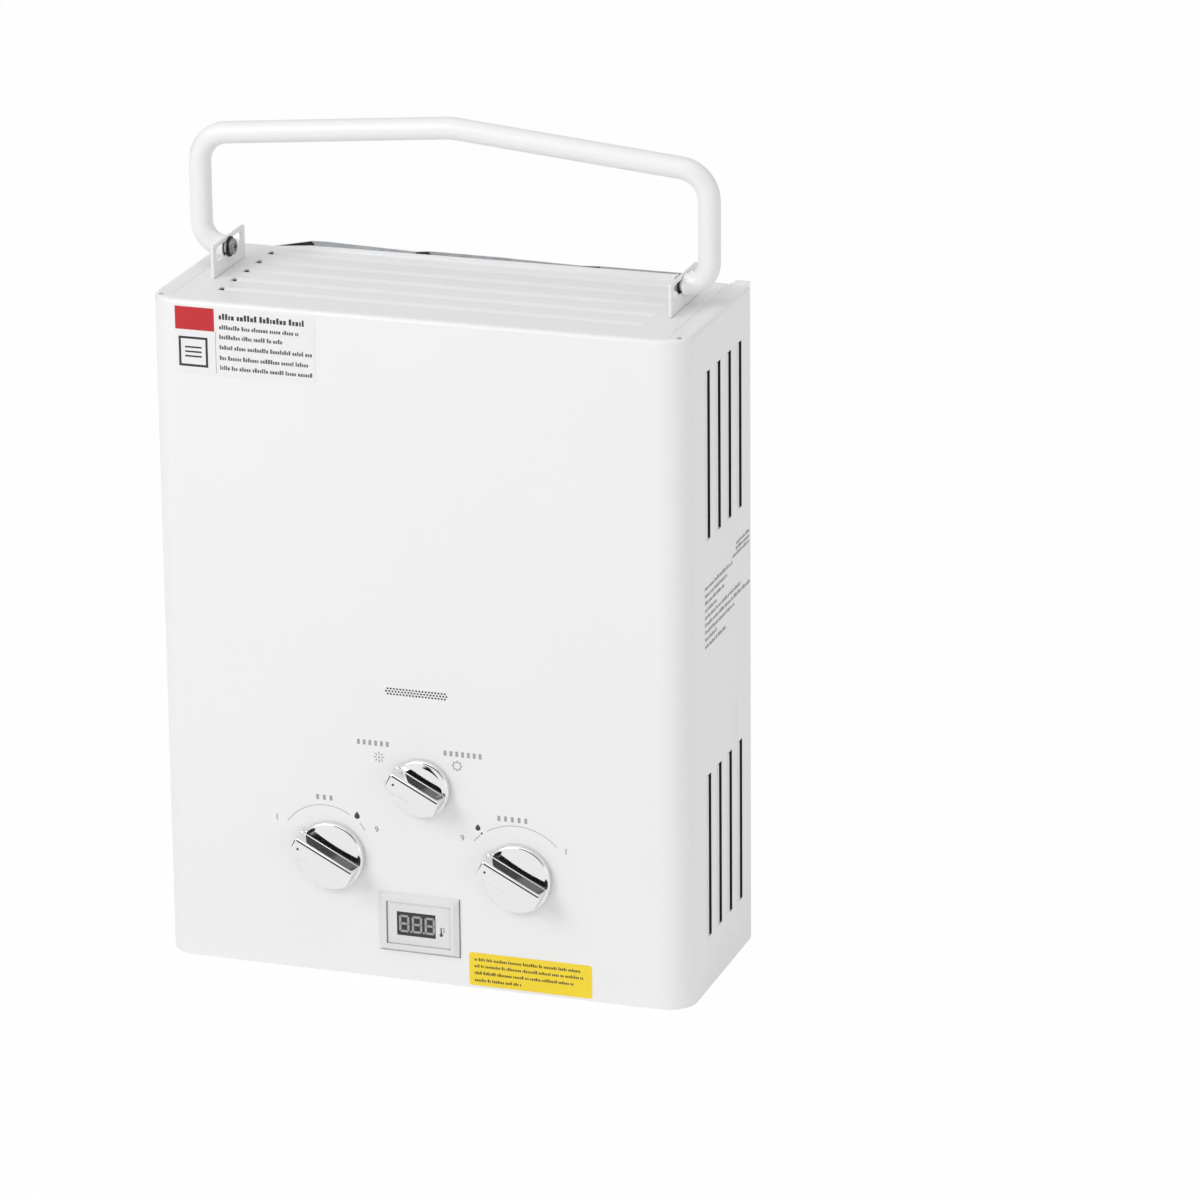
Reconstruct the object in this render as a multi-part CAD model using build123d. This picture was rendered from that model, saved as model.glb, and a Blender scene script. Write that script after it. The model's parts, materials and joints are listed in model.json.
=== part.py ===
from build123d import *
import math
import os

os.makedirs("parts", exist_ok=True)

# Frame: X to the right seen from the front, +Y to the rear, +Z up, in millimetres.
# The origin is at the bottom centre of the whole heater with its handle upright.

# ---- Casing -------------------------------------------------------------------------
CASE_WIDTH = 299.0
CASE_DEPTH = 113.0
CASE_HEIGHT = 372.0
SHEET = 1.0
CORNER_RADIUS = 16.0
TOP_BEND_RADIUS = 2.5
SIDE_FLANGE = 11.3
REAR_FLANGE = 10.0
REAR_FLANGE_RISE = 2.0
REAR_FLANGE_SLOPE = 2.5
SEAM_WIDTH = 0.4
SEAM_FRONT_SETBACK = 8.0
RELIEF_HOLE_RADIUS = 1.5
SHEET_FIT = 0.2
KNOB_REACH = 15.8
COVER_SCREW_HEAD = 1.2

FRONT_Y = KNOB_REACH - (KNOB_REACH + CASE_DEPTH + COVER_SCREW_HEAD) / 2
REAR_Y = FRONT_Y + CASE_DEPTH
SIDE_X = CASE_WIDTH / 2
FRONT_INNER_Y = FRONT_Y + SHEET
PANEL_REAR_Y = REAR_Y - SHEET
PANEL_Y = PANEL_REAR_Y - SHEET
TOP_INNER_Z = CASE_HEIGHT - SHEET
SEAM_X = SIDE_X - SIDE_FLANGE

# ---- Louvres ------------------------------------------------------------------------
TOP_LOUVRE_COUNT = 5
TOP_LOUVRE_PITCH = 18.1
TOP_LOUVRE_END_GAP = 9.2
TOP_LOUVRE_WIDTH = 6.0
TOP_LOUVRE_DROP = 3.0
TOP_LOUVRE_OPEN_END = 2.2
TOP_LOUVRE_FRONT_MARGIN = 25.9
SIDE_LOUVRE_COUNT = 4
SIDE_LOUVRE_PITCH = 18.5
SIDE_LOUVRE_HEIGHT = 92.5
SIDE_LOUVRE_WIDTH = 7.5
SIDE_LOUVRE_LIP = 1.2
SIDE_LOUVRE_RAISE = 0.5
SIDE_LOUVRE_FRONT_MARGIN = 38.0
SIDE_LOUVRE_BASES = (29.5, 253.5)

# ---- Rear panel, bottom plate, chassis ------------------------------------------------
PANEL_SIDE_FLANGE = 14.0
PANEL_BOTTOM_Z = 0.5
BASE_PLATE_Z = 20.0
BASE_FLANGE = 14.0
BASE_FRONT_GAP = 0.4
RIM_LINE = (
    (-121.0, 0.0), (-98.0, 4.7), (-90.0, 4.9), (-38.0, 3.5), (-31.0, 4.3), (8.0, 4.2), (56.0, 3.3),
    (66.0, 3.9), (113.0, 3.9), (121.0, 0.0),
)
LIP_LINE = ((-123.0, 0.0), (-98.0, 2.2), (113.0, 3.2), (123.0, 0.0))
KEYHOLE_SPACING = 120.0
KEYHOLE_Z = 336.0
KEYHOLE_HEAD_RADIUS = 5.0
KEYHOLE_SLOT_RADIUS = 2.6
KEYHOLE_RISE = 9.0
WALL_HOLE_Z = 96.0
WALL_HOLE_RADIUS = 2.75
COVER_SCREW_HEIGHTS = (60.0, 186.0, 312.0)
COVER_SCREW_RADIUS = 1.5
COVER_SCREW_HEAD_RADIUS = 3.4
COVER_SCREW_LENGTH = 7.0
SCREW_HOLE_CLEARANCE = 0.1
SCREW_SLOT_WIDTH = 1.0
SCREW_SLOT_LENGTH = 4.0
SCREW_SLOT_DEPTH = 0.6

# ---- Handle -------------------------------------------------------------------------
BRACKET_SEAM_GAP = 11.0
BRACKET_SHEET = 1.5
BRACKET_RISE = 18.0
BRACKET_FRONT_Y = -8.0
BRACKET_LENGTH = 46.0
BRACKET_FOOT = 8.5
BRACKET_CORNER = 1.0
BRACKET_SLIT_GAP = 0.3
SLOT_LENGTH = 38.0
SLOT_WIDTH = 8.0
HANDLE_TUBE_RADIUS = 6.0
HANDLE_TUBE_WALL = 1.0
HANDLE_LEG_REACH = 13.8
PIVOT_HEIGHT = 12.0
HANDLE_SHOULDER_HEIGHT = 61.5
HANDLE_APEX_HEIGHT = 74.8
HANDLE_TOP_RADIUS = 17.0
HANDLE_APEX_RADIUS = 40.0
HANDLE_FOOT_RADIUS = 13.2
HANDLE_TUBE_GAP = 0.3
PLUG_DEPTH = 6.0
PLUG_END_GAP = 1.0
HANDLE_SCREW_RADIUS = 2.5
HANDLE_SCREW_HEAD_RADIUS = 4.3
HANDLE_SCREW_HEAD = 2.4
WASHER_RADIUS = 5.5
WASHER_THICK = 1.0
BUSH_SLOT_CLEARANCE = 0.1
BUSH_BORE_CLEARANCE = 0.05
BUSH_FLANGE_GAP = 0.15

PIVOT_Y = BRACKET_FRONT_Y + BRACKET_LENGTH / 2
PIVOT_Z = CASE_HEIGHT + PIVOT_HEIGHT
BRACKET_INNER_X = SEAM_X - BRACKET_SEAM_GAP
BRACKET_OUTER_X = BRACKET_INNER_X + BRACKET_SHEET
HANDLE_LEG_X = BRACKET_OUTER_X + HANDLE_LEG_REACH
TOP_LOUVRE_LENGTH = 2 * (BRACKET_INNER_X - TOP_LOUVRE_END_GAP)

# ---- Knobs --------------------------------------------------------------------------
KNOB_RADIUS = 19.0
SEASON_KNOB_RADIUS = 16.0
KNOB_SKIRT = 4.5
KNOB_RIM_WIDTH = 2.0
KNOB_DISH_DEPTH = 1.4
KNOB_BAR_WIDTH = 10.0
KNOB_BAR_CHAMFER = 1.5
KNOB_BAR_OVERHANG = 0.8
KNOB_DOT_RADIUS = 0.9
KNOB_DOT_DEPTH = 0.4
KNOB_FACE_GAP = 0.4
KNOB_POINTER_ANGLE = 152.5
KNOB_BORE_DEPTH = 10.0
SPINDLE_RADIUS = 3.0
SPINDLE_FLAT = 0.8
SPINDLE_BORE_CLEARANCE = 0.05
SPINDLE_HOLE_CLEARANCE = 1.0

GAS_X = -51.6
GAS_Z = 67.8
WATER_X = 54.7
WATER_Z = 66.5
SEASON_X = 1.0
SEASON_Z = 112.0

# ---- View window and display -------------------------------------------------------------
WINDOW_X = -1.6
WINDOW_Z = 164.6
WINDOW_COLUMNS = 19
WINDOW_PITCH = 1.8
WINDOW_ROW_PITCH = 1.5
WINDOW_HOLE_RADIUS = 0.6
MESH_MARGIN = 5.0
MESH_THICK = 0.6
MESH_HOLE_GROWTH = 0.1
DISPLAY_X = -1.9
DISPLAY_Z = 33.3
BEZEL_WIDTH = 45.3
BEZEL_HEIGHT = 33.3
BEZEL_REACH = 3.0
BEZEL_BEVEL = 2.6
BEZEL_BORDER = 4.4
FACE_RECESS = 1.2
FACE_THICK = 1.2
PANE_WIDTH = 22.1
PANE_HEIGHT = 13.6
PANE_SHIFT_X = -1.5
PANE_SHIFT_Z = -0.3
PANE_RECESS = 0.3
DISPLAY_BODY_DEPTH = 11.0
DISPLAY_BODY_FIT = 0.3
LABEL_THICK = 0.2
LOWER_LABEL = (26.0, 95.5, 1.6, 20.4)
UPPER_LABEL_WIDTH = 78.7
UPPER_LABEL_HEIGHT = 36.6
UPPER_LABEL_SIDE_GAP = 0.3
UPPER_LABEL_TOP_GAP = 3.4
LABEL_CORNER = 1.5

label_x = CORNER_RADIUS + UPPER_LABEL_SIDE_GAP - SIDE_X
label_top = CASE_HEIGHT - UPPER_LABEL_TOP_GAP
UPPER_LABEL = (label_x, label_x + UPPER_LABEL_WIDTH, label_top - UPPER_LABEL_HEIGHT, label_top)

# ---- Gas and water valves --------------------------------------------------------------
VALVE_AXIS_Y = -2.0
VALVE_AXIS_Z = 66.0
VALVE_TOP_Z = 90.0
VALVE_BOTTOM_Z = 46.0
VALVE_FRONT_Y = -26.0
VALVE_REAR_Y = 18.0
GAS_BODY_WIDTH = 46.0
WATER_BODY_WIDTH = 34.0
BODY_EDGE_RADIUS = 3.0
BOSS_RADIUS = 10.0
BOSS_REACH = 9.0
SPINDLE_SEAT_DEPTH = 8.0
SOLENOID_RADIUS = 11.0
SOLENOID_LENGTH = 28.0
SOLENOID_CAP = 4.0
RISER_RADIUS = 8.0
RISER_WALL = 1.5
DIAPHRAGM_RADIUS = 26.0
DIAPHRAGM_SHELL = 8.0
DIAPHRAGM_WALL = 2.0
DIAPHRAGM_PLATE_RADIUS = 18.0
DIAPHRAGM_PLATE = 2.0
GUIDE_RADIUS = 7.0
GUIDE_LENGTH = 8.0
ROD_RADIUS = 2.0
ROD_CLEARANCE = 0.05
ROD_TRAVEL = 3.5
ROD_END_GAP = 1.0
ROD_VALVE_DEPTH = 14.0
COLLAR_RADIUS = 4.5
COLLAR_LENGTH = 3.0
COLLAR_X = -4.0
COLLAR_POCKET_GAP = 1.0
SPRING_RADIUS = 4.2
SPRING_WIRE = 0.5
SPRING_TURNS = 5.0
SPRING_RUNNING_GAP = 0.6
SWITCH_LENGTH = 20.0
SWITCH_HEIGHT = 10.0
SWITCH_DEPTH = 6.5
SWITCH_RISE = 9.0
LEVER_THICK = 0.8
LEVER_WIDTH = 4.0
LEVER_GAP = 0.3
LEVER_PIN_RADIUS = 0.8
LEVER_CATCH = 1.5
FITTING_RADIUS = 10.48
FITTING_BORE = 6.5
FITTING_END_Z = 3.0
FITTING_THREAD = 15.0
FITTING_NECK_RADIUS = 9.0
THREAD_CHAMFER = 0.8
NUT_ACROSS_FLATS = 27.0
NUT_HEIGHT = 6.0
FITTING_HOLE_CLEARANCE = 0.3
DRAIN_X = 88.0
DRAIN_Y = -18.0
DRAIN_RADIUS = 6.0
DRAIN_ARM_RADIUS = 4.5
DRAIN_STEM_RADIUS = 2.5
DRAIN_KNOB_RADIUS = 8.5
DRAIN_KNOB_HEIGHT = 9.0
DRAIN_KNOB_GAP = 0.4
DRAIN_KNOB_RIBS = 12
DRAIN_KNOB_FLUTE = 1.0
DRAIN_STEM_END_GAP = 1.0

# ---- Valve straps and chassis screws ------------------------------------------------------
STRAP_WIDTH = 24.0
STRAP_SHEET = 1.5
STRAP_LEG = 16.0
CHASSIS_SCREW_HEAD = 2.2
CHASSIS_SCREW_HEAD_RADIUS = 3.2

# ---- Burner ---------------------------------------------------------------------------
BURNER_COUNT = 8
BURNER_THICK = 6.0
BURNER_TOP_Z = 156.0
RACK_WIDTH = 146.4
RACK_SHEET = 1.2
RACK_BASE_Z = 128.0
RACK_TOP_Z = 160.0
RACK_FRONT_Y = -24.0
RACK_REAR_Y = 44.0
RACK_FLANGE = 11.0
VENTURI_BASE_Z = 104.0
VENTURI_RADIUS = 1.5
VENTURI_DEPTH = 18.0
FLAME_SLOT_WIDTH = 2.0
FLAME_SLOT_DEPTH = 3.0
MANIFOLD_HEIGHT = 16.0
MANIFOLD_FRONT_Y = -23.0
MANIFOLD_DEPTH = 18.0
NOZZLE_RADIUS = 2.5
NOZZLE_LENGTH = 6.0
NOZZLE_GAP = 2.0
ELECTRODE_X = 18.0
ELECTRODE_Z = 148.0
CERAMIC_RADIUS = 3.5
CERAMIC_LENGTH = 22.0
CERAMIC_BEHIND = 6.0
WIRE_RADIUS = 0.9
WIRE_REACH = 10.0
WIRE_RISE = 13.0

BURNER_PITCH = (RACK_WIDTH - 2 * RACK_SHEET) / BURNER_COUNT

# ---- Heat exchanger ----------------------------------------------------------------------
CHAMBER_FRONT_Y = -28.0
CHAMBER_DEPTH = 74.0
CHAMBER_TOP_Z = 312.0
CHAMBER_SHEET = 1.2
CHAMBER_CORNER = 8.0
TUBE_RADIUS = 7.0
TUBE_WALL = 1.0
TUBE_COUNT = 3
TUBE_PITCH = 24.0
TUBE_ROW_Z = 290.0
TUBE_HOLE_CLEARANCE = 0.1
TUBE_SIDE_REACH = 14.0
TUBE_BEND_SLACK = 0.05
COIL_GAP = 0.2
COIL_START_Z = 182.0
COIL_RISE = 8.0
FIN_COUNT = 30
FIN_THICK = 0.5
FIN_HEIGHT = 40.0
FIN_EDGE_GAP = 0.3
HOOD_TOP_Z = 364.0
HOOD_SHEET = 1.0
HOOD_TOP_WIDTH = 226.0
HOOD_TOP_DEPTH = 88.0
HANGER_X = 45.0
HANGER_WIDTH = 24.0
HANGER_Z = 250.0
HANGER_HEIGHT = 20.0
HANGER_SHEET = 1.5
OUTLET_X = 112.0
OUTLET_Y = 32.0
OUTLET_TOP_Z = 46.0
RISER_X = 88.0
RISER_Y = 5.0
RISER_BASE_Z = 78.0
ELBOW_RADIUS = 8.5
ELBOW_SHOULDER = 1.0
SWITCH_DISC_RADIUS = 8.0
SWITCH_DISC_THICK = 5.0
SWITCH_DISC_Z = 246.0
TERMINAL_SPREAD = 8.0
TERMINAL_WIDTH = 6.0
TERMINAL_THICK = 0.8
PROBE_RADIUS = 2.5
PROBE_LENGTH = 22.0
PROBE_Z = 110.0
PROBE_CLIP_HEIGHT = 8.0
PROBE_CLIP_SHEET = 1.0

# ---- Ignition and batteries ----------------------------------------------------------------
CONTROLLER_SIDE_GAP = 9.5
CONTROLLER_WIDTH = 36.0
CONTROLLER_BASE_Z = 112.0
CONTROLLER_HEIGHT = 66.0
CONTROLLER_DEPTH = 32.0
CONTROLLER_EDGE = 2.0
CONTROLLER_SOCKET_INSET = 6.0
CONTROLLER_SOCKET_REAR_GAP = 4.0
CELL_RADIUS = 16.6
CELL_LENGTH = 59.0
CELL_NUB_RADIUS = 4.7
CELL_NUB = 2.0
CELL_GAP = 0.6
BATTERY_WALL = 1.8
BATTERY_SIDE_GAP = 9.6
BATTERY_RIM = 3.0
BATTERY_REAR_RIM = 2.0
BATTERY_Y = 38.0
BATTERY_FLOOR_Z = 7.0
LID_THICK = 3.0
LID_MARGIN = 1.6
LID_GAP = 0.4
LID_TAB = 5.0
LID_TAB_REACH = 2.0
LID_PIN_INSET = 2.0

BATTERY_HALF_WIDTH = 2 * CELL_RADIUS + 1.5 * CELL_GAP + BATTERY_WALL
BATTERY_X = BATTERY_SIDE_GAP + BATTERY_HALF_WIDTH - SIDE_X


def block(x0, x1, y0, y1, z0, z1):
    """Box between two corners."""
    centre = Pos((x0 + x1) / 2, (y0 + y1) / 2, (z0 + z1) / 2)
    return centre * Box(x1 - x0, y1 - y0, z1 - z0)


def bar_x(x0, x1, y, z, radius):
    """Round bar along X."""
    return Pos((x0 + x1) / 2, y, z) * Rot(0, 90, 0) * Cylinder(radius, x1 - x0)


def bar_y(x, y0, y1, z, radius):
    """Round bar along Y."""
    return Pos(x, (y0 + y1) / 2, z) * Rot(90, 0, 0) * Cylinder(radius, y1 - y0)


def bar_z(x, y, z0, z1, radius):
    """Round bar along Z."""
    return Pos(x, y, (z0 + z1) / 2) * Cylinder(radius, z1 - z0)


def profile_x(points, x0, x1):
    """Polygon of (y, z) points, extruded from x0 to x1."""
    face = Plane.YZ.offset(x0) * make_face(Polyline(*points, close=True))
    return extrude(face, x1 - x0, dir=(1, 0, 0))


def pipe(points, bends, radius, wall):
    """Hollow tube along a path of straight runs and arcs."""
    path = FilletPolyline(*points, radius=bends)
    start = Plane(path @ 0, z_dir=path % 0)
    outer = sweep(start * Circle(radius), path=path)
    return outer - sweep(start * Circle(radius - wall), path=path)


def group(solids):
    """Separate solids kept together in one node."""
    return Compound(children=[solid for part in solids for solid in part.solids()])


def save(name, shape):
    """Write one node."""
    export_step(shape, f"parts/{name}.step")


# ---- Casing pieces --------------------------------------------------------------------

def casing_form(inset, z0, z1, rear_y):
    """Block with round front corners and a rounded front top edge."""
    x = SIDE_X - inset
    y = FRONT_Y + inset
    radius = CORNER_RADIUS - inset
    form = block(-x, x, y, rear_y, z0, z1)
    uprights = form.edges().filter_by(Axis.Z).sort_by(Axis.Y)[:2]
    form = fillet(uprights, radius)
    top_edges = form.faces().sort_by(Axis.Z)[-1].edges().sort_by(Axis.Y)
    return fillet(top_edges[:-1], TOP_BEND_RADIUS - inset)


def top_louvre_lines():
    """Y of the middle of each louvre in the top."""
    first = FRONT_Y + TOP_LOUVRE_FRONT_MARGIN
    return [first + i * TOP_LOUVRE_PITCH for i in range(TOP_LOUVRE_COUNT)]


def side_louvre_lines():
    """Y of the middle of each louvre in a side."""
    first = FRONT_Y + SIDE_LOUVRE_FRONT_MARGIN
    return [first + i * SIDE_LOUVRE_PITCH for i in range(SIDE_LOUVRE_COUNT)]


def top_louvre(y):
    """Window in the top and the flap pressed down along its rear edge, open at its left end."""
    half = TOP_LOUVRE_LENGTH / 2
    front, rear = y - TOP_LOUVRE_WIDTH / 2, y + TOP_LOUVRE_WIDTH / 2
    low = CASE_HEIGHT - TOP_LOUVRE_DROP
    window = block(-half, half, front, rear, TOP_INNER_Z - SHEET, CASE_HEIGHT + SHEET)
    outline = [(rear, CASE_HEIGHT), (front, low), (front, low - SHEET), (rear, TOP_INNER_Z)]
    return window, profile_x(outline, TOP_LOUVRE_OPEN_END - half, half)


def side_louvre(side, y, base):
    """Window in a side wall and the lip raised along its front edge."""
    front = y - SIDE_LOUVRE_WIDTH / 2
    top = base + SIDE_LOUVRE_HEIGHT
    inner, outer = SIDE_X - SHEET, SIDE_X + SIDE_LOUVRE_RAISE
    window = block(inner - SHEET, outer, front, front + SIDE_LOUVRE_WIDTH, base, top)
    lip = block(outer - SHEET, outer, front, front + SIDE_LOUVRE_LIP, base, top)
    return [shape if side > 0 else mirror(shape, about=Plane.YZ) for shape in (window, lip)]


def rear_flange(side):
    """Flange folded in along the rear of a side wall, standing a little above the top."""
    inner, top = SIDE_X - REAR_FLANGE, CASE_HEIGHT + REAR_FLANGE_RISE
    outline = [(inner, 0), (SIDE_X, 0), (SIDE_X, top)]
    outline += [(inner + REAR_FLANGE_SLOPE, top), (inner, CASE_HEIGHT)]
    face = Plane.XZ.offset(-PANEL_REAR_Y) * make_face(Polyline(*outline, close=True))
    flange = extrude(face, SHEET, dir=(0, 1, 0))
    return flange if side > 0 else mirror(flange, about=Plane.YZ)


def front_cover():
    """Folded front, side and top sheet."""
    shell = casing_form(0, 0, CASE_HEIGHT, REAR_Y)
    shell -= casing_form(SHEET, -SHEET, TOP_INNER_Z, REAR_Y + SHEET)
    rear_strip = block(-SEAM_X, SEAM_X, PANEL_Y - SHEET_FIT, REAR_Y, TOP_INNER_Z, CASE_HEIGHT)
    shell -= rear_strip
    lip = [(-SEAM_X, TOP_INNER_Z), (SEAM_X, TOP_INNER_Z), (SEAM_X, CASE_HEIGHT)]
    lip += [(x, CASE_HEIGHT + rise) for x, rise in LIP_LINE[::-1]] + [(-SEAM_X, CASE_HEIGHT)]
    face = Plane.XZ.offset(SHEET_FIT - PANEL_Y) * make_face(Polyline(*lip, close=True))
    shell += extrude(face, SHEET, dir=(0, -1, 0))
    for side in (-1, 1):
        x = side * (SIDE_X - REAR_FLANGE / 2)
        shell += rear_flange(side)
        seam_start = FRONT_Y + SEAM_FRONT_SETBACK
        seam_length = REAR_Y - seam_start
        seam = Box(SEAM_WIDTH, seam_length, 4 * SHEET)
        shell -= Pos(side * SEAM_X, seam_start + seam_length / 2, CASE_HEIGHT) * seam
        relief_x = side * (SEAM_X + SIDE_FLANGE / 2)
        shell -= bar_z(relief_x, seam_start, TOP_INNER_Z - SHEET, CASE_HEIGHT + SHEET, RELIEF_HOLE_RADIUS)
        for z in COVER_SCREW_HEIGHTS:
            hole = COVER_SCREW_RADIUS + SCREW_HOLE_CLEARANCE
            shell -= bar_y(x, PANEL_REAR_Y - SHEET, REAR_Y + SHEET, z, hole)
        shell -= bracket_slit(side)
        for y in side_louvre_lines():
            for base in SIDE_LOUVRE_BASES:
                window, lip = side_louvre(side, y, base)
                shell = shell - window + lip
    for y in top_louvre_lines():
        window, flap = top_louvre(y)
        shell = shell - window + flap
    for x, z in ((GAS_X, GAS_Z), (WATER_X, WATER_Z), (SEASON_X, SEASON_Z)):
        hole = SPINDLE_RADIUS + SPINDLE_HOLE_CLEARANCE
        shell -= bar_y(x, FRONT_Y - SHEET, FRONT_INNER_Y + SHEET, z, hole)
    shell -= window_holes(FRONT_Y - SHEET, FRONT_INNER_Y + SHEET, WINDOW_HOLE_RADIUS)
    shell -= display_box(DISPLAY_BODY_FIT, FRONT_Y - SHEET, FRONT_INNER_Y + SHEET)
    return shell


def bracket_slit(side):
    """Slit in the top that a handle bracket stands through."""
    gap = BRACKET_SLIT_GAP
    centre_x = side * (BRACKET_INNER_X + BRACKET_SHEET / 2)
    slit = Box(BRACKET_SHEET + 2 * gap, BRACKET_LENGTH + 2 * gap, 4 * SHEET)
    return Pos(centre_x, PIVOT_Y, CASE_HEIGHT) * slit


def window_holes(y0, y1, radius):
    """Three staggered rows of holes for watching the flame."""
    holes = []
    for row in (-1, 0, 1):
        columns = WINDOW_COLUMNS + 1 - abs(row)
        for i in range(columns):
            x = WINDOW_X + (i - (columns - 1) / 2) * WINDOW_PITCH
            holes.append(bar_y(x, y0, y1, WINDOW_Z + row * WINDOW_ROW_PITCH, radius))
    return holes


def display_box(grow, y0, y1):
    """Rectangle of the display body, grown by a clearance."""
    half_x = BEZEL_WIDTH / 2 - BEZEL_BORDER + grow
    half_z = BEZEL_HEIGHT / 2 - BEZEL_BORDER + grow
    return block(DISPLAY_X - half_x, DISPLAY_X + half_x, y0, y1, DISPLAY_Z - half_z, DISPLAY_Z + half_z)


def rim_outline():
    """Upper edge of the rear panel, from right to left."""
    return [(x, CASE_HEIGHT - SHEET_FIT + rise) for x, rise in RIM_LINE[::-1]]


def rear_panel():
    """Galvanised panel with side flanges and hanging holes."""
    x = SIDE_X - SHEET - SHEET_FIT
    corner_x = SIDE_X - REAR_FLANGE
    shoulder = TOP_INNER_Z - SHEET_FIT
    level = CASE_HEIGHT - SHEET_FIT
    corner = shoulder - TOP_BEND_RADIUS
    step_x = SEAM_X - 2 * SEAM_WIDTH
    outline = [(-x, PANEL_BOTTOM_Z), (x, PANEL_BOTTOM_Z), (x, corner), (x - TOP_BEND_RADIUS, shoulder)]
    outline += [(step_x, shoulder), (step_x, level), *rim_outline(), (-step_x, level)]
    outline += [(-step_x, shoulder), (TOP_BEND_RADIUS - x, shoulder), (-x, corner)]
    face = Plane.XZ.offset(-PANEL_Y) * make_face(Polyline(*outline, close=True))
    panel = extrude(face, SHEET, dir=(0, 1, 0))
    for side in (-1, 1):
        flange = Box(SHEET, PANEL_SIDE_FLANGE, corner - PANEL_BOTTOM_Z)
        middle_z = (corner + PANEL_BOTTOM_Z) / 2
        panel += Pos(side * (x - SHEET / 2), PANEL_Y - PANEL_SIDE_FLANGE / 2, middle_z) * flange
        for z in COVER_SCREW_HEIGHTS:
            screw_x = side * (corner_x + REAR_FLANGE / 2)
            panel -= bar_y(screw_x, PANEL_Y - SHEET, REAR_Y, z, COVER_SCREW_RADIUS)
        key_x = side * KEYHOLE_SPACING / 2
        panel -= bar_y(key_x, PANEL_Y - SHEET, REAR_Y, KEYHOLE_Z, KEYHOLE_HEAD_RADIUS)
        panel -= bar_y(key_x, PANEL_Y - SHEET, REAR_Y, KEYHOLE_Z + KEYHOLE_RISE, KEYHOLE_SLOT_RADIUS)
        slot_x0, slot_x1 = key_x - KEYHOLE_SLOT_RADIUS, key_x + KEYHOLE_SLOT_RADIUS
        panel -= block(slot_x0, slot_x1, PANEL_Y - SHEET, REAR_Y, KEYHOLE_Z, KEYHOLE_Z + KEYHOLE_RISE)
        panel -= bar_y(key_x, PANEL_Y - SHEET, REAR_Y, WALL_HOLE_Z, WALL_HOLE_RADIUS)
    return panel


def cover_screws():
    """Thread-forming screws through the rear flanges of the cover."""
    screws = []
    for side in (-1, 1):
        x = side * (SIDE_X - REAR_FLANGE / 2)
        for z in COVER_SCREW_HEIGHTS:
            tip_y = REAR_Y - COVER_SCREW_LENGTH
            head = bar_y(x, REAR_Y, REAR_Y + COVER_SCREW_HEAD, z, COVER_SCREW_HEAD_RADIUS)
            slot = Box(SCREW_SLOT_WIDTH, 2 * SCREW_SLOT_DEPTH, SCREW_SLOT_LENGTH)
            recess = Pos(x, REAR_Y + COVER_SCREW_HEAD, z) * slot
            screws.append(bar_y(x, tip_y, REAR_Y, z, COVER_SCREW_RADIUS) + head - recess)
    return group(screws)


def bottom_plate():
    """Plate over the pipe recess, with flanges at the sides and the rear."""
    x = SIDE_X - SHEET - SHEET_FIT - SHEET - SHEET_FIT
    front = FRONT_INNER_Y + BASE_FRONT_GAP
    top = BASE_PLATE_Z + SHEET
    form = block(-x, x, front, PANEL_Y, BASE_PLATE_Z, top)
    corners = form.edges().filter_by(Axis.Z).sort_by(Axis.Y)[:2]
    plate = fillet(corners, CORNER_RADIUS - SHEET)
    plate += block(-x, x, PANEL_Y - SHEET, PANEL_Y, BASE_PLATE_Z, BASE_PLATE_Z + BASE_FLANGE)
    for side in (-1, 1):
        middle_y = (PANEL_Y - PANEL_SIDE_FLANGE / 2)
        lug = Box(SHEET, PANEL_SIDE_FLANGE, BASE_FLANGE)
        plate += Pos(side * (x - SHEET / 2), middle_y, BASE_PLATE_Z + BASE_FLANGE / 2) * lug
    body_depth = FRONT_INNER_Y + DISPLAY_BODY_DEPTH + 2 * DISPLAY_BODY_FIT
    plate -= display_box(2 * DISPLAY_BODY_FIT, front - SHEET, body_depth)
    fitting_hole = FITTING_NECK_RADIUS + FITTING_HOLE_CLEARANCE
    for hole_x, hole_y in ((GAS_X, VALVE_AXIS_Y), (WATER_X, VALVE_AXIS_Y), (OUTLET_X, OUTLET_Y)):
        plate -= bar_z(hole_x, hole_y, BASE_PLATE_Z - SHEET, top + SHEET, fitting_hole)
    drain_hole = DRAIN_RADIUS + FITTING_HOLE_CLEARANCE
    plate -= bar_z(DRAIN_X, DRAIN_Y, BASE_PLATE_Z - SHEET, top + SHEET, drain_hole)
    x0, x1, y0, y1 = battery_outline(SHEET_FIT)
    return plate - block(x0, x1, y0, y1, BASE_PLATE_Z - SHEET, top + SHEET)


# ---- Handle pieces ----------------------------------------------------------------------

def handle_bracket(side):
    """Angle bracket with its slot, standing through the top."""
    low = TOP_INNER_Z - BRACKET_SHEET
    high = CASE_HEIGHT + BRACKET_RISE
    rear = BRACKET_FRONT_Y + BRACKET_LENGTH
    web = block(BRACKET_INNER_X, BRACKET_OUTER_X, BRACKET_FRONT_Y, rear, low, high)
    corners = web.edges().filter_by(Axis.X).sort_by(Axis.Z)[-2:]
    web = fillet(corners, BRACKET_CORNER)
    foot_x = BRACKET_OUTER_X + BRACKET_FOOT
    web += block(BRACKET_OUTER_X, foot_x, BRACKET_FRONT_Y, rear, low, TOP_INNER_Z)
    radius = SLOT_WIDTH / 2
    reach = SLOT_LENGTH / 2 - radius
    x0, x1 = BRACKET_INNER_X - 1, BRACKET_OUTER_X + 1
    web -= block(x0, x1, PIVOT_Y - reach, PIVOT_Y + reach, PIVOT_Z - radius, PIVOT_Z + radius)
    for y in (PIVOT_Y - reach, PIVOT_Y + reach):
        web -= bar_x(x0, x1, y, PIVOT_Z, radius)
    return web if side > 0 else mirror(web, about=Plane.YZ)


def handle_end_x():
    """X of the face of each tube end."""
    return BRACKET_OUTER_X + HANDLE_TUBE_GAP


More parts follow.
